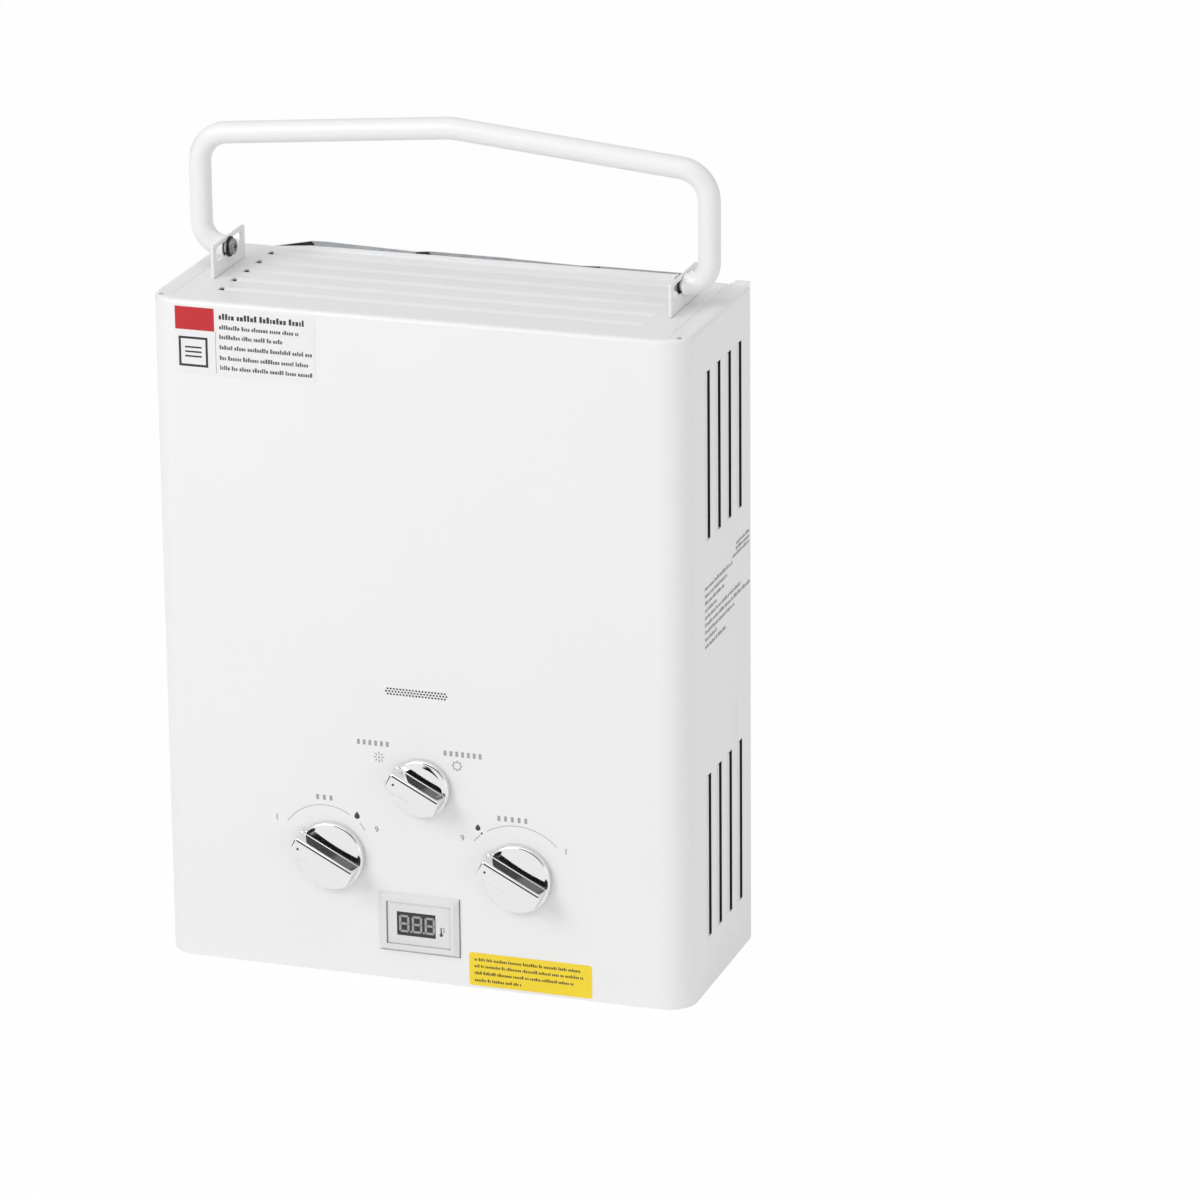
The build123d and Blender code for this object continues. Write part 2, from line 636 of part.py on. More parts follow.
def handle_path():
    """Centre line of the handle, from the left end to the right end."""
    end = handle_end_x()
    shoulder_z = PIVOT_Z + HANDLE_SHOULDER_HEIGHT
    apex_z = PIVOT_Z + HANDLE_APEX_HEIGHT
    half = [(end, PIVOT_Z), (HANDLE_LEG_X, PIVOT_Z), (HANDLE_LEG_X, shoulder_z)]
    right = [(x, PIVOT_Y, z) for x, z in half]
    left = [(-x, PIVOT_Y, z) for x, z in half]
    points = [*left, (0, PIVOT_Y, apex_z), *right[::-1]]
    bends = [HANDLE_FOOT_RADIUS, HANDLE_TOP_RADIUS, HANDLE_APEX_RADIUS, HANDLE_TOP_RADIUS, HANDLE_FOOT_RADIUS]
    return points, bends


def handle_tube():
    """Bent carrying handle."""
    points, bends = handle_path()
    return pipe(points, bends, HANDLE_TUBE_RADIUS, HANDLE_TUBE_WALL)


def handle_plugs():
    """Threaded plugs pressed into the tube ends."""
    end = handle_end_x()
    radius = HANDLE_TUBE_RADIUS - HANDLE_TUBE_WALL
    plugs = []
    for side in (-1, 1):
        x0, x1 = sorted((side * end, side * (end + PLUG_DEPTH)))
        y0, y1 = PIVOT_Y - 2 * radius, PIVOT_Y + 2 * radius
        plug = handle_core() & block(x0, x1, y0, y1, PIVOT_Z - 2 * radius, PIVOT_Z + 2 * radius)
        plugs.append(plug - bar_x(x0, x1, PIVOT_Y, PIVOT_Z, HANDLE_SCREW_RADIUS))
    return group(plugs)


def handle_core():
    """Space inside the handle tube."""
    points, bends = handle_path()
    path = FilletPolyline(*points, radius=bends)
    start = Plane(path @ 0, z_dir=path % 0)
    return sweep(start * Circle(HANDLE_TUBE_RADIUS - HANDLE_TUBE_WALL), path=path)


def handle_screws():
    """Pivot screws with pan heads on the inner faces of the brackets."""
    inner = BRACKET_INNER_X - BUSH_FLANGE_GAP - WASHER_THICK
    reach = handle_end_x() + PLUG_DEPTH - PLUG_END_GAP
    screws = []
    for side in (-1, 1):
        shank = bar_x(inner, reach, PIVOT_Y, PIVOT_Z, HANDLE_SCREW_RADIUS)
        head = bar_x(inner - HANDLE_SCREW_HEAD, inner, PIVOT_Y, PIVOT_Z, HANDLE_SCREW_HEAD_RADIUS)
        rim = head.faces().sort_by(Axis.X)[0].edges()
        screw = shank + fillet(rim, HANDLE_SCREW_HEAD / 2)
        for turn in (0, 90):
            recess = Pos(inner - HANDLE_SCREW_HEAD, PIVOT_Y, PIVOT_Z) * Rot(turn, 0, 0)
            screw -= recess * Box(HANDLE_SCREW_HEAD, HANDLE_SCREW_HEAD_RADIUS, SCREW_SLOT_WIDTH)
        screws.append(screw if side > 0 else mirror(screw, about=Plane.YZ))
    return group(screws)


def handle_washers():
    """Washers between the screw heads and the brackets."""
    outer = BRACKET_INNER_X - BUSH_FLANGE_GAP
    washers = []
    for side in (-1, 1):
        x0, x1 = sorted((side * (outer - WASHER_THICK), side * outer))
        ring = bar_x(x0, x1, PIVOT_Y, PIVOT_Z, WASHER_RADIUS)
        washers.append(ring - bar_x(x0, x1, PIVOT_Y, PIVOT_Z, HANDLE_SCREW_RADIUS))
    return group(washers)


def handle_bushes():
    """Bushes that turn on the screws and slide in the bracket slots."""
    radius = SLOT_WIDTH / 2 - BUSH_SLOT_CLEARANCE
    bore = HANDLE_SCREW_RADIUS + BUSH_BORE_CLEARANCE
    bushes = []
    for side in (-1, 1):
        x0, x1 = sorted((side * BRACKET_INNER_X, side * BRACKET_OUTER_X))
        bushes.append(bar_x(x0, x1, PIVOT_Y, PIVOT_Z, radius) - bar_x(x0, x1, PIVOT_Y, PIVOT_Z, bore))
    return group(bushes)


# ---- Knobs and spindles --------------------------------------------------------------------

def knob(x, z, radius):
    """Dished disc with a diametral grip bar that points at the dial."""
    back = -KNOB_FACE_GAP
    skirt_front = -KNOB_SKIRT
    front = -KNOB_REACH
    disc = bar_y(0, skirt_front, back, 0, radius)
    disc = fillet(disc.faces().sort_by(Axis.Y)[0].edges(), KNOB_RIM_WIDTH / 3)
    disc -= bar_y(0, skirt_front, skirt_front + KNOB_DISH_DEPTH, 0, radius - KNOB_RIM_WIDTH)
    tip = radius + KNOB_BAR_OVERHANG
    heel = radius - KNOB_RIM_WIDTH / 2
    half = KNOB_BAR_WIDTH / 2
    grip = block(-heel, tip, front, skirt_front + KNOB_DISH_DEPTH, -half, half)
    grip = chamfer(grip.faces().sort_by(Axis.Y)[0].edges(), KNOB_BAR_CHAMFER)
    dot = bar_y(tip - KNOB_BAR_WIDTH / 2, front, front + KNOB_DOT_DEPTH, 0, KNOB_DOT_RADIUS)
    shaft_end = back - KNOB_BORE_DEPTH
    bore = bar_y(0, shaft_end, back, 0, SPINDLE_RADIUS) & spindle_key(shaft_end, back)
    body = disc + grip - dot - bore
    return Pos(x, FRONT_Y, z) * Rot(0, -KNOB_POINTER_ANGLE, 0) * body


def spindle_key(y0, y1):
    """Space beside the flat of a spindle."""
    flat = SPINDLE_RADIUS - SPINDLE_FLAT
    return block(-2 * SPINDLE_RADIUS, 2 * SPINDLE_RADIUS, y0, y1, -2 * SPINDLE_RADIUS, flat)


def spindle(x, z, rear_y):
    """Round spindle with a flat for the knob."""
    start = -KNOB_FACE_GAP - KNOB_BORE_DEPTH
    stem = bar_y(0, start, rear_y - FRONT_Y, 0, SPINDLE_RADIUS)
    flat = bar_y(0, start, -KNOB_FACE_GAP, 0, SPINDLE_RADIUS) - spindle_key(start, -KNOB_FACE_GAP)
    return Pos(x, FRONT_Y, z) * Rot(0, -KNOB_POINTER_ANGLE, 0) * (stem - flat)


# ---- Front fittings ------------------------------------------------------------------------

def window_mesh():
    """Perforated strip behind the holes of the view window."""
    half_x = (WINDOW_COLUMNS + 1) * WINDOW_PITCH / 2 + MESH_MARGIN
    half_z = WINDOW_ROW_PITCH + MESH_MARGIN
    back = FRONT_INNER_Y + MESH_THICK
    x0, x1 = WINDOW_X - half_x, WINDOW_X + half_x
    strip = block(x0, x1, FRONT_INNER_Y, back, WINDOW_Z - half_z, WINDOW_Z + half_z)
    grown = WINDOW_HOLE_RADIUS + MESH_HOLE_GROWTH
    return strip - window_holes(FRONT_INNER_Y - SHEET, back + SHEET, grown)


def display_bezel():
    """Bevelled frame on the front of the casing."""
    half_x, half_z = BEZEL_WIDTH / 2, BEZEL_HEIGHT / 2
    front = FRONT_Y - BEZEL_REACH
    x0, x1 = DISPLAY_X - half_x, DISPLAY_X + half_x
    frame = block(x0, x1, front, FRONT_Y, DISPLAY_Z - half_z, DISPLAY_Z + half_z)
    frame = chamfer(frame.faces().sort_by(Axis.Y)[0].edges(), BEZEL_BEVEL * 2 / 3, BEZEL_BEVEL)
    return frame - display_box(0, front - SHEET, FRONT_Y + SHEET)


def display_pane_box(y0, y1):
    """Rectangle of the dark pane."""
    x, z = DISPLAY_X + PANE_SHIFT_X, DISPLAY_Z + PANE_SHIFT_Z
    half_x, half_z = PANE_WIDTH / 2, PANE_HEIGHT / 2
    return block(x - half_x, x + half_x, y0, y1, z - half_z, z + half_z)


def display_face():
    """Face plate inside the bezel, open for the pane."""
    front = FRONT_Y - BEZEL_REACH + FACE_RECESS
    back = front + FACE_THICK
    return display_box(0, front, back) - display_pane_box(front - SHEET, back + SHEET)


def display_pane():
    """Dark pane over the digits."""
    front = FRONT_Y - BEZEL_REACH + FACE_RECESS
    return display_pane_box(front + PANE_RECESS, front + FACE_THICK)


def display_body():
    """Housing of the display, through the front cover."""
    front = FRONT_Y - BEZEL_REACH + FACE_RECESS + FACE_THICK
    return display_box(0, front, FRONT_INNER_Y + DISPLAY_BODY_DEPTH)


def label(edges):
    """Thin label on the front."""
    x0, x1, z0, z1 = edges
    plate = block(x0, x1, FRONT_Y - LABEL_THICK, FRONT_Y, z0, z1)
    return fillet(plate.edges().filter_by(Axis.Y), LABEL_CORNER)


# ---- Gas side ----------------------------------------------------------------------------

def valve_body(x, z, width):
    """Cast valve block with a boss for the spindle."""
    half = width / 2
    body = block(x - half, x + half, VALVE_FRONT_Y, VALVE_REAR_Y, VALVE_BOTTOM_Z, VALVE_TOP_Z)
    body = fillet(body.edges(), BODY_EDGE_RADIUS)
    boss_front = VALVE_FRONT_Y - BOSS_REACH
    body += bar_y(x, boss_front, VALVE_FRONT_Y + BODY_EDGE_RADIUS, z, BOSS_RADIUS)
    seat = VALVE_FRONT_Y + SPINDLE_SEAT_DEPTH
    return body - bar_y(x, boss_front, seat, z, SPINDLE_RADIUS + SPINDLE_BORE_CLEARANCE)


def gas_right_x():
    """Right face of the gas valve, towards the water valve."""
    return GAS_X + GAS_BODY_WIDTH / 2


def gas_valve():
    """Gas valve block with the pocket for the push rod and its spring."""
    face = gas_right_x()
    body = valve_body(GAS_X, GAS_Z, GAS_BODY_WIDTH)
    pocket = face - ROD_VALVE_DEPTH
    body -= bar_x(pocket, face, VALVE_AXIS_Y, VALVE_AXIS_Z, COLLAR_RADIUS + COLLAR_POCKET_GAP)
    guide = ROD_RADIUS + ROD_CLEARANCE
    body -= bar_x(pocket - ROD_VALVE_DEPTH / 2, pocket, VALVE_AXIS_Y, VALVE_AXIS_Z, guide)
    return body


def gas_solenoid():
    """Safety shut-off solenoid on the left of the gas valve."""
    face = GAS_X - GAS_BODY_WIDTH / 2
    tip = face - SOLENOID_LENGTH
    can = bar_x(tip, face, VALVE_AXIS_Y, VALVE_AXIS_Z, SOLENOID_RADIUS)
    return can + bar_x(tip - SOLENOID_CAP, tip, VALVE_AXIS_Y, VALVE_AXIS_Z, SOLENOID_RADIUS / 2)


def fitting(x, y, top_z):
    """Threaded pipe fitting through the bottom plate, with a hexagon above it."""
    under = BASE_PLATE_Z
    above = BASE_PLATE_Z + SHEET
    stub = bar_z(x, y, FITTING_END_Z, FITTING_END_Z + FITTING_THREAD, FITTING_RADIUS)
    stub = chamfer(stub.edges().sort_by(Axis.Z)[0], THREAD_CHAMFER)
    stub += bar_z(x, y, FITTING_END_Z + FITTING_THREAD, above, FITTING_NECK_RADIUS)
    nut_radius = NUT_ACROSS_FLATS / math.sqrt(3)
    nut = extrude(Plane.XY.offset(above) * RegularPolygon(nut_radius, 6), NUT_HEIGHT)
    stub += Pos(x, y, 0) * nut
    stub += bar_z(x, y, above, top_z, FITTING_NECK_RADIUS)
    return stub - bar_z(x, y, FITTING_END_Z, under + NUT_HEIGHT, FITTING_BORE)


def gas_riser():
    """Short tube from the gas valve to the manifold."""
    y = MANIFOLD_FRONT_Y + MANIFOLD_DEPTH / 2
    base, top = VALVE_TOP_Z, SEASON_Z - MANIFOLD_HEIGHT / 2
    return bar_z(GAS_X, y, base, top, RISER_RADIUS) - bar_z(GAS_X, y, base, top, RISER_RADIUS - RISER_WALL)


def gas_manifold():
    """Bar that feeds the nozzles, with the seat of the season spindle."""
    half = RACK_WIDTH / 2 - RACK_SHEET
    rear = MANIFOLD_FRONT_Y + MANIFOLD_DEPTH
    low, high = SEASON_Z - MANIFOLD_HEIGHT / 2, SEASON_Z + MANIFOLD_HEIGHT / 2
    bar = block(-half, half, MANIFOLD_FRONT_Y, rear, low, high)
    bar = fillet(bar.edges().filter_by(Axis.X), BODY_EDGE_RADIUS / 2)
    boss_front = MANIFOLD_FRONT_Y - BOSS_REACH
    bar += bar_y(SEASON_X, boss_front, MANIFOLD_FRONT_Y, SEASON_Z, MANIFOLD_HEIGHT / 2)
    seat = MANIFOLD_FRONT_Y + SPINDLE_SEAT_DEPTH
    return bar - bar_y(SEASON_X, boss_front, seat, SEASON_Z, SPINDLE_RADIUS + SPINDLE_BORE_CLEARANCE)


def burner_lines():
    """X of the middle of each burner bar."""
    return [(i - (BURNER_COUNT - 1) / 2) * BURNER_PITCH for i in range(BURNER_COUNT)]


def gas_nozzles():
    """Brass nozzles on the rear of the manifold, one before each burner bar."""
    face = MANIFOLD_FRONT_Y + MANIFOLD_DEPTH
    nozzles = []
    for x in burner_lines():
        nozzle = bar_y(x, face, face + NOZZLE_LENGTH, SEASON_Z, NOZZLE_RADIUS)
        nozzles.append(chamfer(nozzle.edges().sort_by(Axis.Y)[-1], NOZZLE_RADIUS / 2))
    return group(nozzles)


def burner_bars():
    """Flat burner bars with a venturi mouth and a flame slot."""
    mouth = MANIFOLD_FRONT_Y + MANIFOLD_DEPTH + NOZZLE_LENGTH + NOZZLE_GAP
    front, rear = RACK_FRONT_Y + RACK_SHEET, RACK_REAR_Y - RACK_SHEET
    shoulder = SEASON_Z + MANIFOLD_HEIGHT
    outline = [(mouth, VENTURI_BASE_Z), (rear, VENTURI_BASE_Z), (rear, BURNER_TOP_Z)]
    outline += [(front, BURNER_TOP_Z), (front, shoulder), (mouth, shoulder - NOZZLE_LENGTH)]
    bars = []
    for x in burner_lines():
        bar = profile_x(outline, x - BURNER_THICK / 2, x + BURNER_THICK / 2)
        bar -= bar_y(x, mouth, mouth + VENTURI_DEPTH, SEASON_Z, VENTURI_RADIUS)
        slot_x0, slot_x1 = x - FLAME_SLOT_WIDTH / 2, x + FLAME_SLOT_WIDTH / 2
        slot_y0, slot_y1 = front + BURNER_THICK, rear - BURNER_THICK
        bar -= block(slot_x0, slot_x1, slot_y0, slot_y1, BURNER_TOP_Z - FLAME_SLOT_DEPTH, BURNER_TOP_Z)
        bars.append(bar)
    return group(bars)


def burner_rack():
    """Frame round the burner bars, screwed to the rear panel."""
    half = RACK_WIDTH / 2
    low = SEASON_Z - MANIFOLD_HEIGHT / 2
    rear = MANIFOLD_FRONT_Y + MANIFOLD_DEPTH
    outline = [(RACK_FRONT_Y, low), (rear, low), (rear, RACK_BASE_Z), (PANEL_Y, RACK_BASE_Z)]
    outline += [(PANEL_Y, RACK_TOP_Z), (RACK_FRONT_Y, RACK_TOP_Z)]
    plate = profile_x(outline, half - RACK_SHEET, half)
    plate += block(half, half + RACK_FLANGE, PANEL_Y - RACK_SHEET, PANEL_Y, RACK_BASE_Z, RACK_TOP_Z)
    rack = plate + mirror(plate, about=Plane.YZ)
    inner = half - RACK_SHEET
    front_strip = block(-inner, inner, RACK_FRONT_Y, RACK_FRONT_Y + RACK_SHEET, RACK_BASE_Z, RACK_TOP_Z)
    for side in (-1, 1):
        x = side * ELECTRODE_X
        front_strip -= bar_y(x, RACK_FRONT_Y, RACK_FRONT_Y + RACK_SHEET, ELECTRODE_Z, CERAMIC_RADIUS)
    rack += front_strip
    return rack + block(-inner, inner, RACK_REAR_Y - RACK_SHEET, RACK_REAR_Y, RACK_BASE_Z, RACK_TOP_Z)


def electrode(x, hook):
    """Ceramic body with a wire that rises beside a burner bar."""
    rear = RACK_FRONT_Y + CERAMIC_BEHIND
    ceramic = bar_y(x, rear - CERAMIC_LENGTH, rear, ELECTRODE_Z, CERAMIC_RADIUS)
    tip_y = rear + WIRE_REACH
    tip_z = ELECTRODE_Z + WIRE_RISE
    points = [(x, rear, ELECTRODE_Z), (x, tip_y, ELECTRODE_Z), (x, tip_y, tip_z), (x + hook, tip_y, tip_z)]
    path = FilletPolyline(*points, radius=2 * WIRE_RADIUS)
    return ceramic + sweep(Plane(path @ 0, z_dir=path % 0) * Circle(WIRE_RADIUS), path=path)


# ---- Water side ----------------------------------------------------------------------------

def water_left_x():
    """Left face of the water valve."""
    return WATER_X - WATER_BODY_WIDTH / 2


def diaphragm_face_x():
    """Joint between the two halves of the diaphragm housing."""
    return water_left_x() - DIAPHRAGM_SHELL


def water_valve():
    """Water valve block with its half of the diaphragm housing."""
    body = valve_body(WATER_X, WATER_Z, WATER_BODY_WIDTH)
    face = diaphragm_face_x()
    left = water_left_x() + BODY_EDGE_RADIUS
    body += bar_x(face, left, VALVE_AXIS_Y, VALVE_AXIS_Z, DIAPHRAGM_RADIUS)
    chamber = DIAPHRAGM_RADIUS - 2 * DIAPHRAGM_WALL
    body -= bar_x(face, face + DIAPHRAGM_SHELL - DIAPHRAGM_WALL, VALVE_AXIS_Y, VALVE_AXIS_Z, chamber)
    boss_front = VALVE_FRONT_Y - BOSS_REACH
    seat = VALVE_FRONT_Y + SPINDLE_SEAT_DEPTH
    body -= bar_y(WATER_X, boss_front, seat, WATER_Z, SPINDLE_RADIUS + SPINDLE_BORE_CLEARANCE)
    right = WATER_X + WATER_BODY_WIDTH / 2
    arm_z = RISER_BASE_Z - ELBOW_RADIUS - ELBOW_SHOULDER
    elbow = bar_x(right - BODY_EDGE_RADIUS, RISER_X, RISER_Y, arm_z, TUBE_RADIUS)
    elbow += bar_z(RISER_X, RISER_Y, arm_z - ELBOW_RADIUS, RISER_BASE_Z, ELBOW_RADIUS)
    return body + elbow


def diaphragm_cover():
    """Outer half of the diaphragm housing with the guide of the push rod."""
    face = diaphragm_face_x()
    back = face - DIAPHRAGM_SHELL
    cover = bar_x(back, face, VALVE_AXIS_Y, VALVE_AXIS_Z, DIAPHRAGM_RADIUS)
    cover = fillet(cover.edges().sort_by(Axis.X)[0], DIAPHRAGM_WALL)
    cover += bar_x(back - GUIDE_LENGTH, back, VALVE_AXIS_Y, VALVE_AXIS_Z, GUIDE_RADIUS)
    chamber = DIAPHRAGM_RADIUS - 2 * DIAPHRAGM_WALL
    cover -= bar_x(back + DIAPHRAGM_WALL, face, VALVE_AXIS_Y, VALVE_AXIS_Z, chamber)
    guide_bore = ROD_RADIUS + ROD_CLEARANCE
    return cover - bar_x(back - GUIDE_LENGTH, back + DIAPHRAGM_WALL, VALVE_AXIS_Y, VALVE_AXIS_Z, guide_bore)


def push_rod():
    """Rod with the diaphragm plate, the switch collar and the valve disc."""
    plate_x1 = diaphragm_face_x() + DIAPHRAGM_SHELL - DIAPHRAGM_WALL - ROD_END_GAP
    plate_x0 = plate_x1 - DIAPHRAGM_PLATE
    tip = gas_right_x() - ROD_VALVE_DEPTH - ROD_END_GAP
    rod = bar_x(tip, plate_x0, VALVE_AXIS_Y, VALVE_AXIS_Z, ROD_RADIUS)
    rod += bar_x(plate_x0, plate_x1, VALVE_AXIS_Y, VALVE_AXIS_Z, DIAPHRAGM_PLATE_RADIUS)
    rod += bar_x(COLLAR_X - COLLAR_LENGTH, COLLAR_X, VALVE_AXIS_Y, VALVE_AXIS_Z, COLLAR_RADIUS)
    disc_x = spring_end_x()
    return rod + bar_x(disc_x, disc_x + COLLAR_LENGTH / 2, VALVE_AXIS_Y, VALVE_AXIS_Z, COLLAR_RADIUS)


def spring_end_x():
    """Face of the valve disc that the return spring presses on."""
    return gas_right_x() - COLLAR_LENGTH


def return_spring():
    """Return spring at its working length in the pocket of the gas valve."""
    start = gas_right_x() - ROD_VALVE_DEPTH + ROD_TRAVEL + SPRING_RUNNING_GAP + SPRING_WIRE
    length = spring_end_x() - start - SPRING_WIRE - COIL_GAP
    mean = SPRING_RADIUS - SPRING_WIRE
    path = Helix(length / SPRING_TURNS, length, mean)
    coil = sweep(Plane(path @ 0, z_dir=path % 0) * Circle(SPRING_WIRE), path=path, is_frenet=True)
    return Pos(start, VALVE_AXIS_Y, VALVE_AXIS_Z) * Rot(0, 90, 0) * coil


def switch_base_z():
    """Underside of the microswitch."""
    return VALVE_AXIS_Z + COLLAR_RADIUS + SWITCH_RISE


def lever_pivot():
    """X and Z of the lever pin."""
    blade_x = COLLAR_X - COLLAR_LENGTH - LEVER_GAP - LEVER_THICK / 2
    return blade_x, switch_base_z() - 2 * LEVER_PIN_RADIUS


def microswitch():
    """Switch on a bracket from the diaphragm cover, with two ears for the lever pin."""
    base = switch_base_z()
    pivot_x, pivot_z = lever_pivot()
    ear = 2 * LEVER_PIN_RADIUS
    x0, x1 = pivot_x - ear, pivot_x - ear + SWITCH_LENGTH
    y0, y1 = VALVE_AXIS_Y - SWITCH_DEPTH / 2, VALVE_AXIS_Y + SWITCH_DEPTH / 2
    case = block(x0, x1, y0, y1, base, base + SWITCH_HEIGHT)
    side = LEVER_WIDTH / 2 + LEVER_GAP
    for y2, y3 in ((y0, VALVE_AXIS_Y - side), (VALVE_AXIS_Y + side, y1)):
        case += block(pivot_x - ear, pivot_x + ear, y2, y3, pivot_z - ear, base)
    case -= bar_y(pivot_x, y0, y1, pivot_z, LEVER_PIN_RADIUS + LEVER_GAP / 6)
    shelf_x1 = diaphragm_face_x() - DIAPHRAGM_SHELL
    return case + block(x1, shelf_x1, y0, y1, base + SWITCH_HEIGHT / 2, base + SWITCH_HEIGHT)


def microswitch_lever():
    """Lever with its pin, hanging beside the collar of the push rod."""
    pivot_x, pivot_z = lever_pivot()
    y0, y1 = VALVE_AXIS_Y - LEVER_WIDTH / 2, VALVE_AXIS_Y + LEVER_WIDTH / 2
    pin_y0, pin_y1 = VALVE_AXIS_Y - SWITCH_DEPTH / 2, VALVE_AXIS_Y + SWITCH_DEPTH / 2
    half = LEVER_THICK / 2
    lever = bar_y(pivot_x, pin_y0, pin_y1, pivot_z, LEVER_PIN_RADIUS)
    tip_z = VALVE_AXIS_Z + COLLAR_RADIUS - LEVER_CATCH
    return lever + block(pivot_x - half, pivot_x + half, y0, y1, tip_z, pivot_z)


def drain_valve():
    """Drain and relief valve body beside the water valve."""
    right = WATER_X + WATER_BODY_WIDTH / 2
    z = VALVE_BOTTOM_Z + 2 * DRAIN_RADIUS
    body = bar_x(right, DRAIN_X, DRAIN_Y, z, DRAIN_ARM_RADIUS)
    low = FITTING_END_Z + DRAIN_KNOB_HEIGHT + DRAIN_KNOB_GAP
    body += bar_z(DRAIN_X, DRAIN_Y, low, z + DRAIN_RADIUS, DRAIN_RADIUS)
    stem = DRAIN_STEM_RADIUS + SPINDLE_BORE_CLEARANCE
    return body - bar_z(DRAIN_X, DRAIN_Y, low, low + DRAIN_KNOB_HEIGHT, stem)


def drain_knob():
    """Ribbed knob and stem under the drain valve."""
    low = FITTING_END_Z
    top = low + DRAIN_KNOB_HEIGHT
    knob_form = bar_z(0, 0, low, top, DRAIN_KNOB_RADIUS)
    for i in range(DRAIN_KNOB_RIBS):
        turn = Rot(0, 0, i * 360 / DRAIN_KNOB_RIBS)
        knob_form -= turn * Pos(DRAIN_KNOB_RADIUS, 0, 0) * bar_z(0, 0, low, top, DRAIN_KNOB_FLUTE)
    stem_top = top + DRAIN_KNOB_HEIGHT - DRAIN_STEM_END_GAP
    knob_form += bar_z(0, 0, top, stem_top, DRAIN_STEM_RADIUS)
    return Pos(DRAIN_X, DRAIN_Y, 0) * knob_form


# ---- Heat exchanger --------------------------------------------------------------------------

def coil_bend():
    """Bend radius of the pipes, concentric with the corners of the chamber."""
    return CHAMBER_CORNER + COIL_GAP + TUBE_RADIUS


def chamber_rear_y():
    """Rear face of the combustion chamber."""
    return CHAMBER_FRONT_Y + CHAMBER_DEPTH


def tube_lines():
    """Y of each exchanger tube."""
    middle = CHAMBER_FRONT_Y + CHAMBER_DEPTH / 2
    return [middle + (i - (TUBE_COUNT - 1) / 2) * TUBE_PITCH for i in range(TUBE_COUNT)]


def tube_bores(x0, x1):
    """Clearance bores for the exchanger tubes."""
    return [bar_x(x0, x1, y, TUBE_ROW_Z, TUBE_RADIUS + TUBE_HOLE_CLEARANCE) for y in tube_lines()]


def combustion_chamber():
    """Copper shell over the burner, open at the top and the bottom."""
    half = RACK_WIDTH / 2
    middle = Plane.XY.offset(RACK_TOP_Z) * Pos(0, CHAMBER_FRONT_Y + CHAMBER_DEPTH / 2)
    outer = middle * RectangleRounded(RACK_WIDTH, CHAMBER_DEPTH, CHAMBER_CORNER)
    wide, deep = RACK_WIDTH - 2 * CHAMBER_SHEET, CHAMBER_DEPTH - 2 * CHAMBER_SHEET
    outer -= middle * RectangleRounded(wide, deep, CHAMBER_CORNER - CHAMBER_SHEET)
    shell = extrude(outer, CHAMBER_TOP_Z - RACK_TOP_Z)
    return shell - tube_bores(-half - 1, half + 1)


def exchanger_fins():
    """Thin fins on the tubes."""
    inner = RACK_WIDTH / 2 - CHAMBER_CORNER
    gap = CHAMBER_SHEET + FIN_EDGE_GAP
    y0, y1 = CHAMBER_FRONT_Y + gap, chamber_rear_y() - gap
    z0, z1 = TUBE_ROW_Z - FIN_HEIGHT / 2, TUBE_ROW_Z + FIN_HEIGHT / 2
    fin = block(0, FIN_THICK, y0, y1, z0, z1) - tube_bores(-1, 1)
    pitch = 2 * inner / FIN_COUNT
    places = [-inner + (i + 0.5) * pitch - FIN_THICK / 2 for i in range(FIN_COUNT)]
    return group([Pos(x, 0, 0) * fin for x in places])


def exchanger_tubes():
    """Serpentine tube through the fins."""
    reach = RACK_WIDTH / 2 + TUBE_SIDE_REACH
    points = []
    side = -1
    for y in tube_lines():
        points += [(side * reach, y, TUBE_ROW_Z), (-side * reach, y, TUBE_ROW_Z)]
        side = -side
    bends = TUBE_PITCH / 2 - TUBE_BEND_SLACK
    return pipe(points, bends, TUBE_RADIUS, TUBE_WALL)


def coil_pipe():
    """Pipe from the water valve, once round the chamber and into the fins."""
    offset = TUBE_RADIUS + COIL_GAP
    x = RACK_WIDTH / 2 + offset
    front, rear = CHAMBER_FRONT_Y - offset, chamber_rear_y() + offset
    corners = [(x, front), (-x, front), (-x, rear), (x, rear), (x, front), (-x, front)]
    points = [(RISER_X, RISER_Y, RISER_BASE_Z), (RISER_X, RISER_Y, COIL_START_Z)]
    points += [(cx, cy, COIL_START_Z + (i + 1) * COIL_RISE) for i, (cx, cy) in enumerate(corners)]
    end_x = -RACK_WIDTH / 2 - TUBE_SIDE_REACH
    drop_x = end_x - 2 * coil_bend()
    first_y = tube_lines()[0]
    turn_z = COIL_START_Z + (len(corners) + 2) * COIL_RISE
    points += [(drop_x, first_y, turn_z), (drop_x, first_y, TUBE_ROW_Z), (end_x, first_y, TUBE_ROW_Z)]
    return pipe(points, coil_bend(), TUBE_RADIUS, TUBE_WALL)


def hot_pipe():
    """Pipe from the last exchanger tube down to the hot outlet."""
    start_x = RACK_WIDTH / 2 + TUBE_SIDE_REACH
    last_y = tube_lines()[-1]
    points = [(start_x, last_y, TUBE_ROW_Z), (OUTLET_X, last_y, TUBE_ROW_Z)]
    points += [(OUTLET_X, last_y, TUBE_ROW_Z - 4 * coil_bend())]
    points += [(OUTLET_X, OUTLET_Y, PROBE_Z + 2 * PROBE_LENGTH), (OUTLET_X, OUTLET_Y, OUTLET_TOP_Z)]
    return pipe(points, coil_bend(), TUBE_RADIUS, TUBE_WALL)


